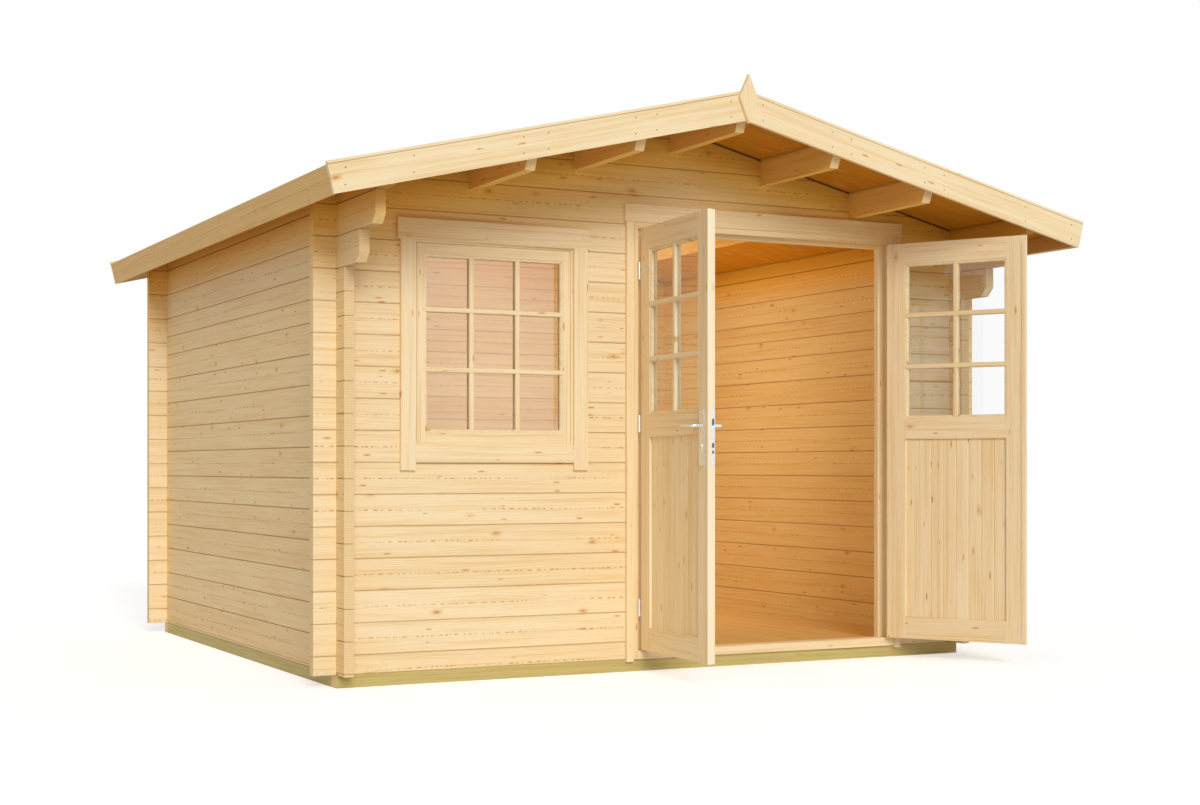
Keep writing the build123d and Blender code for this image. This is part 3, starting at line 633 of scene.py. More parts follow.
def framed_finish(f, level, up, deep, rail, number_lying, number_standing, shade=0.0, edge_highlight=0.0):
    """Grain along the rails where rail is 1 and up the stiles where it is 0; edges may get a painted
    highlight.
    """
    stile = f.minus(1.0, rail)

    def either(lying, standing):
        return f.plus(f.times(rail, lying), f.times(stile, standing))

    number = either(number_lying, number_standing)
    colour = wood_finish(f, either(level, up), either(up, level), deep, number, CREAM, STRAW, 0.6)
    if edge_highlight:
        colour = f.blend(edge_highlight, colour, HIGHLIGHT_CREAM)
    f.put(f.shader.inputs["Base Color"], under_roof(f, colour, shade) if shade else colour)
    return f.material


def window_finish(name, node, stile_width):
    """Rails lie between the stiles of one rectangular frame around the window."""
    low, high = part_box(node)
    f = Finish(name)
    x, y, z = f.split(f.coordinates.outputs["Object"])
    middle = (low.x + high.x) / 2
    half = (high.x - low.x) / 2 - stile_width
    offset = f.calc("ABSOLUTE", f.minus(x, middle))
    rail = f.calc("LESS_THAN", offset, half)
    lying = f.times_plus(f.calc("GREATER_THAN", z, (low.z + high.z) / 2), 3.0, 5.0)
    return framed_finish(f, x, z, y, rail, lying, f.calc("SIGN", f.minus(x, middle)))


FRAME_STILE, SASH_STILE = 0.0251, 0.0361
dress(window_finish("window_frame_spruce", "window_frame", FRAME_STILE), "window_frame")
dress(window_finish("window_sash_spruce", "window_sash", SASH_STILE), "window_sash")


def casing_finish(name, header_bottom, sill_top, half_inside, middle):
    """Casing legs stand; the header and the piece under the window lie."""
    f = Finish(name)
    x, y, z = f.split(f.coordinates.outputs["Object"])
    header = f.calc("GREATER_THAN", z, header_bottom)
    below = f.calc("LESS_THAN", z, sill_top)
    inside = f.calc("LESS_THAN", f.calc("ABSOLUTE", f.minus(x, middle)), half_inside)
    rail = f.calc("MAXIMUM", header, f.times(below, inside))
    lying = f.times_plus(header, 3.0, 15.0 + middle)
    return framed_finish(f, x, z, y, rail, lying, f.calc("SIGN", f.minus(x, middle)), 0.5)


WINDOW_HEADER, WINDOW_SILL, WINDOW_HALF = 1.8968, 1.0202, 0.3766
DOOR_HEADER, DOOR_MIDDLE = 2.0352, 0.504
casing_low, casing_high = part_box("window_casing")
window_middle = (casing_low.x + casing_high.x) / 2
window_casing = casing_finish("window_casing_spruce", WINDOW_HEADER, WINDOW_SILL, WINDOW_HALF, window_middle)
dress(window_casing, "window_casing")
dress(casing_finish("door_casing_spruce", DOOR_HEADER, 0.0, 0.0, DOOR_MIDDLE), "door_casing")

# %% [markdown]
# ## Door leaves
# Each leaf stands open at its own angle, so its grain follows its own directions. The place along the
# leaf is the distance from the hinge line, measured along the leaf. The stiles are the outer 95 mm.

# %% Leaf directions and the leaf finish
LEAF_BOTTOM, LEAF_TOP = 0.100, 2.005
LEAF_THICK = 0.040
HINGE_LINE = -1.493
HINGE_RADIUS = 0.007
HINGE_EDGE = 0.0025
FREE_EDGE = HINGE_EDGE + 0.697
STILE = 0.095
FIELD_LEFT = HINGE_EDGE + STILE
FIELD_RIGHT = FREE_EDGE - STILE
GLASS_BOTTOM, GLASS_TOP = LEAF_TOP - 0.100 - 0.743, LEAF_TOP - 0.100
PANEL_BOTTOM, PANEL_TOP = LEAF_BOTTOM + 0.105, GLASS_BOTTOM - 0.101


class Leaf:
    """Where one door leaf stands: its hinge line, its direction, and which way is inwards."""

    def __init__(self, body, hinge_x, turn_degrees, inward):
        turn = math.radians(turn_degrees)
        self.body = body
        self.origin = np.array([hinge_x, HINGE_LINE, 0.0])
        self.along = np.array([math.cos(turn), math.sin(turn), 0.0])
        self.inward = inward * np.array([-math.sin(turn), math.cos(turn), 0.0])

    def point(self, along, depth, up):
        """Place on the leaf: hinge line plus along, plus depth from the outer face, plus height."""
        along, depth, up = np.broadcast_arrays(*(np.asarray(v, float) for v in (along, depth, up)))
        inset = depth + HINGE_RADIUS
        flat = self.origin + along[..., None] * self.along + inset[..., None] * self.inward
        return flat + up[..., None] * np.array([0.0, 0.0, 1.0])


LEFT_HINGE, LEFT_TURN = -0.192, -95.0
RIGHT_HINGE, RIGHT_TURN = 1.200, 300.0
left_leaf = Leaf("left_door", LEFT_HINGE, LEFT_TURN, 1)
right_leaf = Leaf("right_door", RIGHT_HINGE, RIGHT_TURN, -1)


def leaf_finish(leaf):
    """Standing grain on the stiles and lying grain on the rails of one leaf."""
    f = Finish(leaf.body + "_spruce")
    place = f.coordinates.outputs["Object"]
    level = f.dot(place, tuple(leaf.along), tuple(leaf.origin))
    deep = f.dot(place, tuple(leaf.inward), tuple(leaf.origin))
    up = f.split(place)[2]
    left = f.calc("GREATER_THAN", level, FIELD_LEFT + 0.0001)
    right = f.calc("LESS_THAN", level, FIELD_RIGHT - 0.0001)
    rail = f.times(left, right)
    storey = f.calc("FLOOR", f.times(up, 1.6))
    lying = f.times_plus(storey, 3.0, leaf.origin[0] + 20.0)
    standing = f.times_plus(right, 2.0, leaf.origin[0])
    # Painted highlight on the faces that look along the leaf, its edges.
    facing = f.dot(f.coordinates.outputs["Normal"], tuple(leaf.along))
    edge = f.between(facing, 0.80, 0.92, 0.0, 0.7)
    return framed_finish(f, level, up, deep, rail, lying, standing, edge_highlight=edge)


dress(leaf_finish(left_leaf), "left_door_frame")
dress(leaf_finish(right_leaf), "right_door_frame")

# %% [markdown]
# ## Carried profiles
# Bars, beads and boards all leave a moulding machine, where one outline is cut along the whole length of
# a stick. They are made the same way here: an outline is carried from one end of the stick to the other.
# Each point also keeps its place in the plank, so that the grain follows the stick wherever it lies.

# %% Helpers for carried profiles


def closed_strip(count):
    """Index pairs round a closed outline: 0 to 1, 1 to 2, and the last back to 0."""
    here = np.arange(count)
    return here, (here + 1) % count


def tube_faces(rings, count):
    """Four-sided faces between neighbouring rings of a tube, and one face that closes each end."""
    here, there = closed_strip(count)
    first = np.arange(rings - 1)[:, None] * count
    sides = np.stack([first + here, first + there, first + count + there, first + count + here], axis=-1)
    return list(sides.reshape(-1, 4)) + [np.arange(count)[::-1], np.arange(count) + (rings - 1) * count]


def add_piece(name, body, material, parts, smooth=False):
    """Join parts (points, faces, grain, plank) into one mesh that rides on a body of the cabin."""
    starts = np.cumsum([0] + [len(part[0]) for part in parts])
    points = np.vstack([part[0] for part in parts])
    shifted = [face + start for part, start in zip(parts, starts) for face in part[1]]
    faces = [tuple(face.tolist()) for face in shifted]
    mesh = bpy.data.meshes.new(name)
    mesh.from_pydata(points.tolist(), [], faces)
    grain = mesh.attributes.new("grain", "FLOAT_VECTOR", "POINT")
    grain.data.foreach_set("vector", np.vstack([part[2] for part in parts]).astype(np.float32).ravel())
    plank = mesh.attributes.new("plank", "FLOAT", "POINT")
    plank.data.foreach_set("value", np.concatenate([part[3] for part in parts]).astype(np.float32))
    mesh.polygons.foreach_set("use_smooth", [smooth] * len(faces))
    mesh.materials.append(material)
    mesh.validate()
    piece = bpy.data.objects.new(name, mesh)
    bpy.context.scene.collection.objects.link(piece)
    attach(piece, body)
    print(name, len(points), "points,", len(faces), "faces")
    return piece


def carry(outline, first, last, plank, lie):
    """Carry an outline: point (s, t) goes from first(s, t) to last(s, t); one face closes each end."""
    s, t = outline[:, 0], outline[:, 1]
    count = len(outline)
    points = np.vstack([first(s, t), last(s, t)])
    length = np.linalg.norm(points[count:] - points[:count], axis=1)
    grain = np.vstack([np.stack([0 * s + lie, s, t], axis=1), np.stack([length + lie, s, t], axis=1)])
    return points, tube_faces(2, count), grain, np.full(2 * count, float(plank))


def turned_out(part):
    """Turn all faces of a part round if its volume comes out negative, so that they look outwards."""
    points, faces, grain, plank = part
    volume = 0.0
    for face in faces:
        corner = points[face]
        fan = np.cross(corner[1:-1] - corner[0], corner[2:] - corner[0])
        volume += float(np.sum(fan @ corner[0]))
    if volume < 0:
        faces = [face[::-1] for face in faces]
    return points, faces, grain, plank


def grained_finish(name, pale, ring, knots, sunlit=False):
    """Spruce that reads its direction and plank number from the piece's own points; with sunlit, the top gets
    the plain pale tones and the underside keeps the deeper tones given, partly painted shade.
    """
    f = Finish(name)
    place = f.tree.nodes.new("ShaderNodeAttribute")
    place.attribute_name = "grain"
    number = f.tree.nodes.new("ShaderNodeAttribute")
    number.attribute_name = "plank"
    along, across, deep = f.split(place.outputs["Vector"])
    board = f.calc("FLOOR", f.plus(number.outputs["Fac"], 0.5))
    if sunlit:
        top = f.calc("GREATER_THAN", deep, 0.01)
        pale, ring = f.blend(top, pale, CREAM), f.blend(top, ring, STRAW)
    colour = wood_finish(f, along, across, deep, board, pale, ring, knots)
    f.put(f.shader.inputs["Base Color"], colour)
    return f.material


bar_spruce = grained_finish("bar_spruce", CREAM, STRAW, 0.3)
print(bar_spruce.name, "reads its grain from each piece's own points")

# %% [markdown]
# ## Bars and beads of the glass
# The window shows three panes by three and each door leaf two by three. On the real cabin a single pane
# lies behind thin bars, with a second set of bars inside. A small rounded bead runs round the edge of the
# glass on both sides. The beads are mitred: their outline goes round the four corners, and each corner
# moves it inwards along both sides at once. The lying bars are let into the frame a little and stand
# just in front of it.

# %% Outlines of bars and beads
BAR = 0.022
BAR_REACH = 0.010
BEAD = 0.012


def bead_part(place, x_low, x_high, z_low, z_high, glass, face, plank):
    """A bead outline carried round a rectangle: inset from two sides at each corner, depth from the glass."""
    step = face - glass
    inset = np.array([0.0, 1.0, 1.0, 0.72, 0.0]) * BEAD
    depth = glass + step * np.array([0.0, 0.0, 0.45, 0.80, 0.80])
    x = np.stack([x_low + inset, x_high - inset, x_high - inset, x_low + inset])
    z = np.stack([z_low + inset, z_low + inset, z_high - inset, z_high - inset])
    d = np.broadcast_to(depth, x.shape)
    points = place(x, d, z).reshape(-1, 3)
    count = len(inset)
    corner, after = closed_strip(4)
    here, there = closed_strip(count)
    first = corner[:, None] * count
    second = after[:, None] * count
    faces = np.stack(
        [first + here, second + here, second + there, first + there], axis=-1
    ).reshape(-1, 4)
    upright = np.array([0.0, 1.0, 0.0, 1.0])[:, None] * np.ones(count)
    grain = np.stack([x + z, inset + 0 * x, d + upright], axis=-1).reshape(-1, 3)
    return turned_out((points, list(faces), grain, np.full(4 * count, float(plank))))


def bar_part(place, low, high, middle, standing, glass, face, plank):
    """A bar with softened outer edges, carried between low and high, standing or lying."""
    step = face - glass
    half = BAR / 2
    soft = half - 0.003
    outline = np.array([[-half, 0], [half, 0], [half, 0.72], [soft, 0.88], [-soft, 0.88], [-half, 0.72]])
    outline[:, 1] = glass + step * outline[:, 1]

    def end(level):
        if standing:
            return lambda s, t: place(middle + s, t, level + 0 * s)
        return lambda s, t: place(level + 0 * s, t, middle + s)

    return turned_out(carry(outline, end(low), end(high), plank, 0.0))


print("bars", round(1000 * BAR), "mm and beads", round(1000 * BEAD), "mm wide")

# %% [markdown]
# One function puts beads and bars on both sides of a glazed field. It is used three times: the window's
# field is read from its pane, and each leaf's field from the leaf's own sizes. The window's lying bars
# aren't evenly spaced on the real cabin, so their heights are given.

# %% Window and door bars
WINDOW_BAR_LEVELS = (1.344, 1.602)
DOOR_PANE_FACES = (0.018, 0.022)
FIELD_GAP = 0.0003


def glazing(name, body, place, field, uprights, levels, glass, faces):
    """Beads and bars on both sides of one glazed field."""
    x_low, x_high, z_low, z_high = field
    parts = []
    for number, (pane, face) in enumerate(zip(glass, faces)):
        parts.append(bead_part(place, x_low, x_high, z_low, z_high, pane, face, 11 + number))
        for count, x in enumerate(uprights, 20 + 9 * number):
            parts.append(bar_part(place, z_low + 0.002, z_high - 0.002, x, True, pane, face, count))
        outer = pane + (face - pane) * 1.20
        for count, z in enumerate(levels, 40 + 9 * number):
            parts.append(bar_part(place, x_low - BAR_REACH, x_high + BAR_REACH, z, False, pane, outer, count))
    return add_piece(name, body, bar_spruce, parts)


pane_low, pane_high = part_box("window_glass")
sash_low, sash_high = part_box("window_sash")


def window_place(x, depth, z):
    """Window places are plain X, Y and Z, with the depth as Y."""
    return np.stack(np.broadcast_arrays(x, depth, z), axis=-1)


third = (pane_high.x - pane_low.x) / 3
glazing(
    "window_bars",
    "cabin",
    window_place,
    (pane_low.x, pane_high.x, pane_low.z, pane_high.z),
    (pane_low.x + third, pane_high.x - third),
    WINDOW_BAR_LEVELS,
    (pane_low.y, pane_high.y),
    (sash_low.y, sash_high.y),
)
for leaf in (left_leaf, right_leaf):
    tall = (GLASS_TOP - GLASS_BOTTOM) / 3
    glazing(
        leaf.body + "_bars",
        leaf.body,
        leaf.point,
        (FIELD_LEFT + FIELD_GAP, FIELD_RIGHT - FIELD_GAP, GLASS_BOTTOM + FIELD_GAP, GLASS_TOP - FIELD_GAP),
        ((FIELD_LEFT + FIELD_RIGHT) / 2,),
        (GLASS_BOTTOM + tall, GLASS_TOP - tall),
        DOOR_PANE_FACES,
        (0.0, LEAF_THICK),
    )

# %% [markdown]
# ## Boards with grooves
# The lower door panels, the roof and the floor are boards laid side by side, with a small V where two
# boards meet. A row of boards is one outline, flat with V cuts, carried along the grain. The front and
# the back of the outline have their points at the same places, so the ends close with a strip of
# four-sided faces.

# %% Grooved boards
PANEL_GROOVE, ROOF_GROOVE, FLOOR_GROOVE = (0.007, 0.0045), (0.007, 0.004), (0.006, 0.003)


def grooved(width, boards, groove, cut):
    """Places across a row of boards and how deep the surface is cut there: V cuts where boards meet."""
    joints = np.linspace(0.0, width, boards + 1)[1:-1]
    around = joints[:, None] + np.array([-groove / 2, 0.0, groove / 2])
    places = np.concatenate([[0.0], around.ravel(), [width]])
    depth = np.concatenate([[0.0], np.tile([0.0, cut, 0.0], boards - 1), [0.0]])
    number = np.arange(boards - 1)[:, None] + np.array([0.0, 0.5, 1.0])
    number = np.concatenate([[0.0], number.ravel(), [boards - 1.0]])
    return places, depth, number


def board_row(first, last, places, front, back, number, steps):
    """Carry a row of boards: front and back points at one place, from first to last, in a few steps."""
    share = np.linspace(0.0, 1.0, steps + 1)[:, None, None]
    rows = []
    for height in (front, back):
        low, high = first(places, height), last(places, height)
        rows.append(low[None] * (1 - share) + high[None] * share)
    count = len(places)
    points = np.concatenate(rows).reshape(-1, 3)
    layer = (steps + 1) * count
    i, j = np.meshgrid(np.arange(steps), np.arange(count - 1), indexing="ij")
    corner = (i * count + j).ravel()
    top = np.stack([corner, corner + 1, corner + count + 1, corner + count], axis=1)
    faces = [top, top[:, ::-1] + layer]
    side = np.arange(steps) * count
    faces.append(np.stack([side, side + count, side + count + layer, side + layer], axis=1))
    far = side + count - 1
    faces.append(np.stack([far + count, far, far + layer, far + count + layer], axis=1))
    near = np.arange(count - 1)
    faces.append(np.stack([near + 1, near, near + layer, near + 1 + layer], axis=1))
    end = near + steps * count
    faces.append(np.stack([end, end + 1, end + 1 + layer, end + layer], axis=1))
    length = np.linalg.norm(rows[0][-1, 0] - rows[0][0, 0])
    run = np.broadcast_to(share[:, :, 0] * length, (steps + 1, count))
    across = np.broadcast_to(places, (steps + 1, count))
    grain = np.concatenate(
        [np.stack([run, across, 0 * run], axis=-1), np.stack([run, across, 0 * run + 0.02], axis=-1)]
    ).reshape(-1, 3)
    return turned_out((points, list(np.vstack(faces)), grain, np.tile(number, 2 * (steps + 1))))


print("a row of eight boards has", len(grooved(1.0, 8, *PANEL_GROOVE)[0]), "points across")

# %% [markdown]
# Each door panel is eight narrow upright boards, grooved on both faces. The row takes the place of the
# plain sheet that stands for it in the CAD model, as the rows of the roof and the floor do below.

# %% Door panels
PANEL_BOARDS = 8
PANEL_FRONT, PANEL_BACK = 0.011, 0.029
panel_spruce = grained_finish("panel_spruce", CREAM, STRAW, 0.5)
for leaf in (left_leaf, right_leaf):
    low, high = FIELD_LEFT + FIELD_GAP, FIELD_RIGHT - FIELD_GAP
    places, cut, number = grooved(high - low, PANEL_BOARDS, *PANEL_GROOVE)

    def panel_end(level, leaf=leaf, low=low):
        return lambda s, depth: leaf.point(low + s, depth, level + 0 * s)

    foot, head = panel_end(PANEL_BOTTOM + FIELD_GAP), panel_end(PANEL_TOP - FIELD_GAP)
    row = board_row(foot, head, places, PANEL_FRONT + cut, PANEL_BACK - cut, number, 6)
    panel = add_piece(leaf.body + "_boards", leaf.body, panel_spruce, [row])
    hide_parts(leaf.body + "_panel")

# %% [markdown]
# The roof boards climb from eave to ridge over the purlins, which run the other way. Their underside is
# the honey ceiling, a deeper tone that is partly the wood's own and partly painted shade; their top is
# pale. At the ridge they are cut plumb, at the eave square to the slope.

# %% Roof boards
SLOPE_SIN, SLOPE_COS = math.sin(ROOF_PITCH), math.cos(ROOF_PITCH)
ROOF_FRONT, ROOF_BACK = -2.0867, 1.6977
SIDE_OVERHANG = 0.2419
FASCIA_ROOM = 0.0183
EAVE_END = (WALL_HALF + SIDE_OVERHANG) / SLOPE_COS - FASCIA_ROOM
RIDGE_GAP = 0.00015
ROOF_BOARDS = 33
ROOF_BOARD = 0.019
# The ceiling's deeper honey is partly the wood's own tone and partly painted shade.
ceiling_spruce = grained_finish("ceiling_spruce", tone(206, 138, 26), tone(184, 114, 16), 0.8, True)
for side, word in ((-1, "left"), (1, "right")):
    places, cut, number = grooved(ROOF_BACK - ROOF_FRONT, ROOF_BOARDS, *ROOF_GROOVE)
    number = number + 50 * (side > 0)

    def at_ridge(s, h):
        """Plumb cut at the ridge: the height above the underside is stretched by the slope."""
        z = APEX_UNDER + h / SLOPE_COS - RIDGE_GAP * ROOF_SLOPE
        return np.stack([np.full_like(s, side * RIDGE_GAP), ROOF_FRONT + s, z + 0 * s], axis=1)

    def at_eave(s, h):
        """Square cut at the eave: down the slope by its length, then up square to it."""
        x = side * (EAVE_END * SLOPE_COS + h * SLOPE_SIN)
        z = APEX_UNDER - EAVE_END * SLOPE_SIN + h * SLOPE_COS
        return np.stack([x + 0 * s, ROOF_FRONT + s, z + 0 * s], axis=1)

    row = board_row(at_ridge, at_eave, places, cut, ROOF_BOARD - cut / 2, number, 8)
    boards = add_piece(word + "_roof_planks", "cabin", ceiling_spruce, [row])
    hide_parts(word + "_roof_boards")

# %% [markdown]
# The floor boards run from the front to the back. In the doorway the boards start behind the threshold,
# so the front edge steps back there, and four extra places across the row carry that step.

# %% Floor boards
FLOOR_BOARDS = 28
deck_low, deck_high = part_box("floor_deck")
jamb_low, jamb_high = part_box("door_jambs")
floor_spruce = grained_finish("floor_spruce", tone(226, 186, 112), tone(204, 156, 80), 0.8)
places, cut, number = grooved(deck_high.x - deck_low.x, FLOOR_BOARDS, *FLOOR_GROOVE)
beside = np.array([jamb_low.x, jamb_low.x, jamb_high.x, jamb_high.x]) - deck_low.x
edges = beside + np.array([-0.0004, -0.0003, 0.0003, 0.0004])
order = np.argsort(np.concatenate([places, edges]))
cut = np.concatenate([cut, np.interp(edges, places, cut)])[order]
number = np.concatenate([number, np.interp(edges, places, number)])[order]
places = np.concatenate([places, edges])[order]


def floor_front(s, z):
    """The floor starts behind the threshold in the doorway and at the wall elsewhere."""
    x = deck_low.x + s
    doorway = (x > jamb_low.x - 0.00035) & (x < jamb_high.x + 0.00035)
    return np.stack([x, np.where(doorway, jamb_high.y + 0.0003, deck_low.y), z + 0 * s], axis=1)


def floor_back(s, z):
    """The back edge of the floor is straight."""
    return np.stack([deck_low.x + s, np.full_like(s, deck_high.y), z + 0 * s], axis=1)


row = board_row(floor_front, floor_back, places, deck_high.z - cut, 0 * cut + deck_low.z, number, 10)
floor_planks = add_piece("floor_planks", "cabin", floor_spruce, [row])
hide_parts("floor_deck")

# %% [markdown]
# ## Glass and metal
# The panes are clear float glass. The window's mirrors more, as a sealed double pane does. Hinges, lever
# and lock plates are satin steel, brushed along their length, which shows as fine lines in the gloss.

# %% Glass and satin steel


def pane_finish(name, bend):
    """Clear glass; a higher bend of light also mirrors more of the sky."""
    f = Finish(name)
    place = f.coordinates.outputs["Object"]
    waves = f.noise(place, detail=1.0)
    f.put(f.shader.inputs["Base Color"], f.blend(waves, (0.97, 0.98, 0.98, 1), (0.94, 0.96, 0.96, 1)))
    f.shader.inputs["Roughness"].default_value = 0.0
    f.shader.inputs["IOR"].default_value = bend
    f.shader.inputs["Transmission Weight"].default_value = 1.0
    return f.material


dress(pane_finish("door_pane", 1.45), "left_door_glass", "right_door_glass")
dress(pane_finish("window_pane", 2.0), "window_glass")


def steel_finish(name, dark=(0.70, 0.70, 0.71, 1), bright=(0.82, 0.82, 0.82, 1)):
    """Satin steel: grey metal with fine upright brush lines in roughness and relief."""
    f = Finish(name)
    x, y, z = f.split(f.coordinates.outputs["Object"])
    lines = f.noise(f.join(f.times(x, 900.0), f.times(y, 900.0), f.times(z, 60.0)), detail=1.0)
    f.put(f.shader.inputs["Base Color"], f.blend(lines, dark, bright))
    f.shader.inputs["Metallic"].default_value = 1.0
    f.put(f.shader.inputs["Roughness"], f.between(lines, 0.2, 0.8, 0.24, 0.40))
    f.relief(lines, 0.08, 0.0002)
    return f.material


satin_steel = steel_finish("satin_steel")
dress(
    satin_steel,
    "left_jamb_hinges",
    "left_leaf_hinges",
    "right_jamb_hinges",
    "right_leaf_hinges",
    "lock_faceplate",
    "lock_plates",
    "strike_plate",
)

# %% [markdown]
# ## The lever
# Inside and outside lever sit on one square spindle through the lock. Each is a rod that comes straight
# out of the lock plate, bends, and runs back towards the hinges, getting thinner on the way. It could be
# three cylinders, but a bent rod has a soft bend, so a circle is carried along the whole path instead:
# from the tip of the outer lever, through the leaf, to the tip of the inner one.

# %% The lever as one carried circle
LEVER_LEVEL = 1.100
SPINDLE = FREE_EDGE - 0.047
LEVER_TIP = SPINDLE - 0.115
LEVER_OUT = 0.0503
LEVER_DOME = 0.006
BEND = 0.016
SPINDLE_RADIUS = 0.0049


def lever_half():
    """Path and radii of one lever from its tip to the leaf: straight, a quarter circle, straight in."""
    tip = np.linspace(0.0, 1.0, 7)
    arm = np.linspace(LEVER_TIP + LEVER_DOME, SPINDLE - BEND, 14)
    run = np.concatenate([LEVER_TIP + LEVER_DOME * tip[:-1], arm])
    turn = np.linspace(0.0, np.pi / 2, 9)[1:]
    along = np.concatenate([run, SPINDLE - BEND + BEND * np.sin(turn), np.full(4, SPINDLE)])
    inwards = np.array([LEVER_OUT - BEND - 0.008, 0.012, 0.0084, 0.0007])
    out = np.concatenate([np.full(len(run), LEVER_OUT), LEVER_OUT - BEND + BEND * np.cos(turn), inwards])
    share = np.clip((along - LEVER_TIP) / (SPINDLE - LEVER_TIP), 0.0, 1.0)
    dome = np.ones_like(along)
    dome[:7] = np.sqrt(np.clip(1 - (1 - tip) ** 2, 0.02, 1.0))
    thick = (0.0048 + 0.0028 * share) * dome
    tall = (0.0062 + 0.0016 * share**2) * dome
    return along, out, thick, tall


along, out, thick, tall = lever_half()
through = np.array([-0.0005, LEAF_THICK / 2, LEAF_THICK + 0.0005])
path_along = np.concatenate([along, np.full(3, SPINDLE), along[::-1]])
path_depth = np.concatenate([-out, through, LEAF_THICK + out[::-1]])
path_thick = np.concatenate([thick, np.full(3, SPINDLE_RADIUS), thick[::-1]])
path_tall = np.concatenate([tall, np.full(3, SPINDLE_RADIUS), tall[::-1]])


def rod(leaf, level, turns=20):
    """Centre plus thick times cosine sideways plus tall times sine upwards, ring by ring along the path."""
    step = np.stack([np.gradient(path_along), np.gradient(path_depth)], axis=1)
    step /= np.linalg.norm(step, axis=1, keepdims=True)
    angle = np.linspace(0.0, 2 * np.pi, turns, endpoint=False)
    sideways = path_thick[:, None] * np.cos(angle)
    points = leaf.point(
        path_along[:, None] - step[:, 1:] * sideways,
        path_depth[:, None] + step[:, :1] * sideways,
        level + path_tall[:, None] * np.sin(angle),
    )
    points = points.reshape(-1, 3)
    faces = tube_faces(len(path_along), turns)
    return turned_out((points, faces, 0 * points, np.zeros(len(points))))


lever_parts = [rod(left_leaf, LEVER_LEVEL)]
lever_rod = add_piece("lever_rod", "lever", satin_steel, lever_parts, True)
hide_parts("lever_handles")

# %% [markdown]
# ## Small metal parts
# Key holes, bolt ends, screws, hinge tips and nails are all low forms with a plain outline. Each is a
# stack of outlines: the same number of points at every height, drawn in a little towards the top, so that
# the edge catches the light. A key hole is the same stack that goes down again in its middle.

# %% Stacked outlines


def oval(width, height, square, count=16):
    """Rounded outline: cosine and sine raised to a power; 1 gives an ellipse, less gives a softer square."""
    angle = (np.arange(count) + 0.5) * 2 * np.pi / count
    wave = np.stack([np.cos(angle), np.sin(angle)], axis=1)
    return np.sign(wave) * np.abs(wave) ** square * np.array([width / 2, height / 2])


def stack(place, rings):
    """Join outlines at rising heights with four-sided faces, and close the first and the last."""
    count = len(rings[0][0])
    points = np.vstack([place(outline[:, 0], outline[:, 1], np.full(count, h)) for outline, h in rings])
    return turned_out((points, tube_faces(len(rings), count), 0 * points, np.zeros(len(points))))


def raised(place, width, height, square, rise, soft):
    """A low pad with a softened rim."""
    rim = oval(width, height, square)
    top = oval(width - 2 * soft, height - 2 * soft, square)
    return stack(place, [(rim, 0.0), (rim, rise - soft / 2), (top, rise)])


def sunk(place, width, height, square, rise, slot_width, slot_height, depth):
    """A low pad with a slot sunk into its middle."""
    rim = oval(width, height, square)
    top = oval(width - 0.002, height - 0.002, square)
    slot = oval(slot_width, slot_height, 0.4)
    return stack(place, [(rim, 0.0), (rim, rise - 0.0005), (top, rise), (slot, rise), (slot, rise - depth)])


print("each outline has", len(oval(1.0, 1.0, 1.0)), "points")

# %% [markdown]
# On the left leaf, both lock plates get a key hole below the lever and a screw at each end. The plate on
# the leaf's edge gets two screws, nearly flush. Each shape is written as its width, height, squareness
# and rise, then the width, height and depth of its slot. All places are measured on the leaf.

# %% Lock details
PLATE_FACE = 0.0083
PLATES = ((-1, -PLATE_FACE), (1, LEAF_THICK + PLATE_FACE))
SCREW_LEVELS = (LEVER_LEVEL + 0.056, LEVER_LEVEL - 0.156)
KEY_LEVEL = LEVER_LEVEL - 0.092
STILE_END = FREE_EDGE - 0.012
EDGE_MIDDLE = 0.03125
EDGE_SCREW_LEVELS = (1.158, 0.943)
PLATE_SCREW = (0.008, 0.008, 1.0, 0.0011, 0.0012, 0.006, 0.0008)
KEY_HOLE = (0.017, 0.034, 0.7, 0.0022, 0.0046, 0.013, 0.0021)
EDGE_SCREW = (0.007, 0.007, 1.0, 0.0006, 0.001, 0.005, 0.0005)


def on_plate(outward, face, level):
    """Places on a lock plate: across it, up it, and out of it."""
    return lambda u, v, h: left_leaf.point(SPINDLE + u, face + outward * h, level + v)


def on_edge(leaf, end, level):
    """Places on the free edge of a leaf: across the edge, up it, and out of it."""
    return lambda u, v, h: leaf.point(end + h, EDGE_MIDDLE + u, level + v)


lock_parts = []
for outward, face in PLATES:
    for level in SCREW_LEVELS:
        lock_parts.append(sunk(on_plate(outward, face, level), *PLATE_SCREW))
    lock_parts.append(sunk(on_plate(outward, face, KEY_LEVEL), *KEY_HOLE))
for level in EDGE_SCREW_LEVELS:
    lock_parts.append(sunk(on_edge(left_leaf, STILE_END, level), *EDGE_SCREW))
add_piece("lock_details", "left_door", satin_steel, lock_parts)

# %% [markdown]
# Latch, bolts and key slots are a piece of their own: very dark pads that paint the shade inside the latch
# and bolt openings and the key slots.
# The right leaf's strike plate is shorter than the lock. Its two holes are sunk pads, so that they read as
# holes without cutting the plate, and the upper one meets the latch. A low pad is written as its width,
# height, squareness, rise and softness.

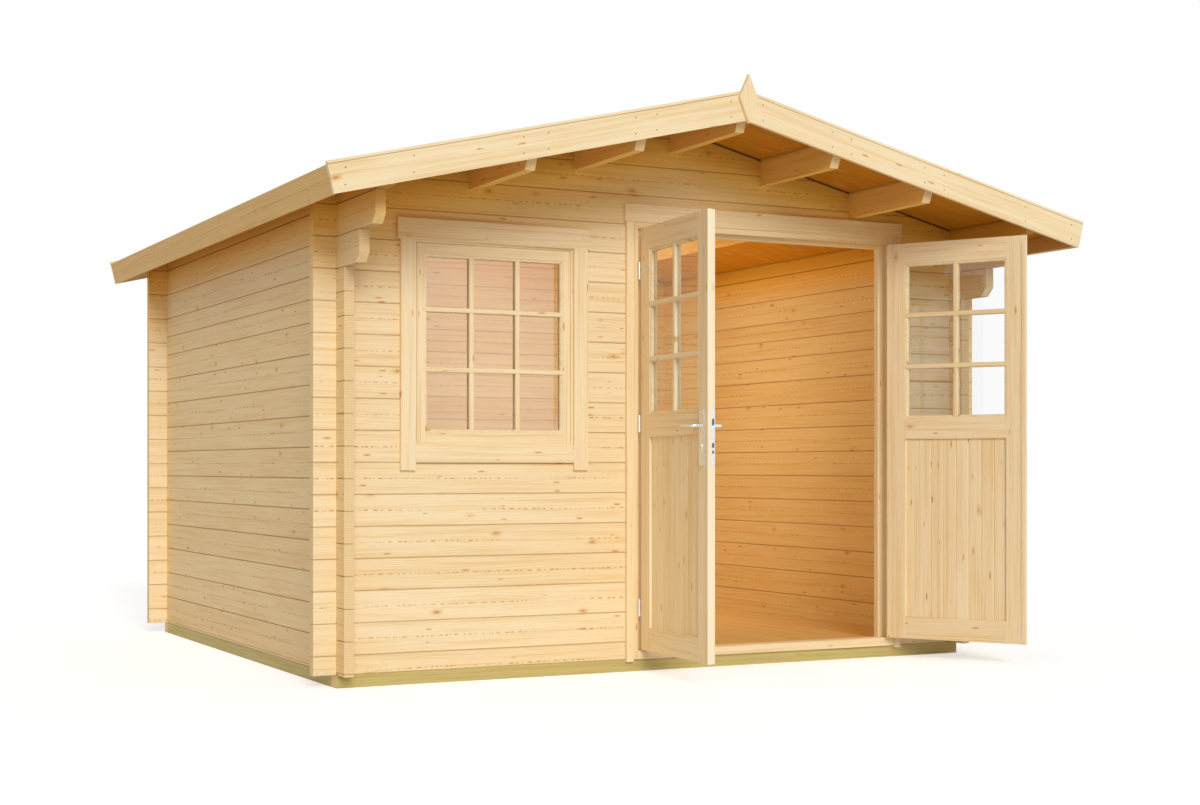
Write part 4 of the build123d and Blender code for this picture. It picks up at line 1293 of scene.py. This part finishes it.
# %% Bolts and strike plate
LATCH_LEVEL = 1.114
EDGE_BOLTS = (
    (LATCH_LEVEL, (0.010, 0.028, 0.3, 0.0016, 0.0012)),
    (1.016, (0.010, 0.020, 0.3, 0.0012, 0.0008)),
    (0.988, (0.008, 0.014, 0.5, 0.0008, 0.0005)),
)
KEY_SLOT = (0.0044, 0.0126, 0.5, 0.0012, 0.0004)
STRIKE_HOLES = (
    (LATCH_LEVEL, (0.0145, 0.034, 0.3, 0.0008, 0.0095, 0.028, 0.0007)),
    (1.065, (0.0145, 0.030, 0.3, 0.0008, 0.0095, 0.024, 0.0007)),
)
STRIKE_SCREW_LEVELS = (1.148, 1.089, 1.046)
STRIKE_SCREW = (0.006, 0.006, 1.0, 0.0006, 0.0004)

# Painted shade: these very dark pads stand for the shade inside the latch and bolt openings and the key
# slots.
painted_shade_steel = steel_finish("painted_shade_steel", (0.10, 0.10, 0.11, 1), (0.17, 0.17, 0.17, 1))
bolt_parts = [raised(on_edge(left_leaf, STILE_END, level), *shape) for level, shape in EDGE_BOLTS]
for outward, face in PLATES:
    bolt_parts.append(raised(on_plate(outward, face, KEY_LEVEL), *KEY_SLOT))
add_piece("lock_bolts", "left_door", painted_shade_steel, bolt_parts)

strike_parts = [sunk(on_edge(right_leaf, FREE_EDGE, level), *shape) for level, shape in STRIKE_HOLES]
for level in STRIKE_SCREW_LEVELS:
    strike_parts.append(raised(on_edge(right_leaf, FREE_EDGE, level), *STRIKE_SCREW))
add_piece("strike_details", "right_door", satin_steel, strike_parts)

# %% [markdown]
# The hinges end in small domes, the upper one on the leaf and the lower one on the jamb. They stay inside
# the width of the knuckle, so a leaf turns freely.

# %% Hinge tips
HINGE_LEVELS = (0.290, 1.1225, 1.815)
HINGE_HALF = 0.037
DOME = ((0.0134, 0.0), (0.0134, 0.0012), (0.0112, 0.0028), (0.0066, 0.0040), (0.0020, 0.0044))


def hinge_tips(name, leaf, body, upwards):
    """A dome of shrinking circles above or below every hinge on one side."""
    parts = []
    for level in HINGE_LEVELS:

        def tip(u, v, h, end=level + upwards * HINGE_HALF):
            return leaf.origin + np.stack([u, v, end + upwards * h], axis=1)

        parts.append(stack(tip, [(oval(size, size, 1.0), h) for size, h in DOME]))
    return add_piece(name, body, satin_steel, parts, True)


hinge_tips("left_leaf_hinge_tips", left_leaf, "left_door", 1)
hinge_tips("right_leaf_hinge_tips", right_leaf, "right_door", 1)
hinge_tips("left_jamb_hinge_tips", left_leaf, "cabin", -1)
hinge_tips("right_jamb_hinge_tips", right_leaf, "cabin", -1)

# %% [markdown]
# The barge boards are nailed to the ends of the purlins. The nail heads are flat and browned, 6 mm wide,
# and stand out by less than a millimetre.

# %% Nails
barge_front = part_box("front_barge_boards")[0].y
barge_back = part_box("back_barge_boards")[1].y
NAILED_AT = (0.08, 0.44, 0.54, 0.94, 1.05, 1.52, 1.80)
NAIL_ROWS = (-0.048, 0.016)
NAIL_HEAD = 0.006
nail_parts = []
for face, outward in ((barge_front, -1), (barge_back, 1)):
    for x in NAILED_AT:
        for side in (-1, 1):
            for above in NAIL_ROWS:
                z = APEX_UNDER + above / SLOPE_COS - x * ROOF_SLOPE

                def nail(u, v, h, x=side * x, z=z, face=face, outward=outward):
                    return np.stack([x + u, face + outward * h, z + v], axis=1)

                nail_parts.append(raised(nail, NAIL_HEAD, NAIL_HEAD, 1.0, 0.0009, 0.0006))
nail_brown = steel_finish("nail_brown", (0.24, 0.16, 0.09, 1), (0.34, 0.24, 0.15, 1))
add_piece("barge_nails", "cabin", nail_brown, nail_parts)

# %% [markdown]
# A narrow strip covers the joint of the two leaves on the room side. It is nailed along the free edge of
# the right leaf and ends below the stop of the door head, so that the doors still close.

# %% Meeting strip
STRIP_OUTLINE = np.array(
    [[0.0, 0.0], [0.021, 0.0], [0.021, 0.0022], [0.0195, 0.0036], [0.0015, 0.0036], [0.0, 0.0022]]
)
STRIP_START = FREE_EDGE - 0.0214
STRIP_BACK = LEAF_THICK + 0.0002
STRIP_BOTTOM, STRIP_TOP = LEAF_BOTTOM + 0.002, 1.975


def strip_end(level):
    """The strip's outline on the inner face, at one height."""
    return lambda s, t: right_leaf.point(STRIP_START + s, STRIP_BACK + t, level + 0 * s)


strip = turned_out(carry(STRIP_OUTLINE, strip_end(STRIP_BOTTOM), strip_end(STRIP_TOP), 3.0, 0.0))
add_piece("meeting_strip", "right_door", bar_spruce, [strip])

# %% [markdown]
# The dressed cabin must stay as large as the CAD model.
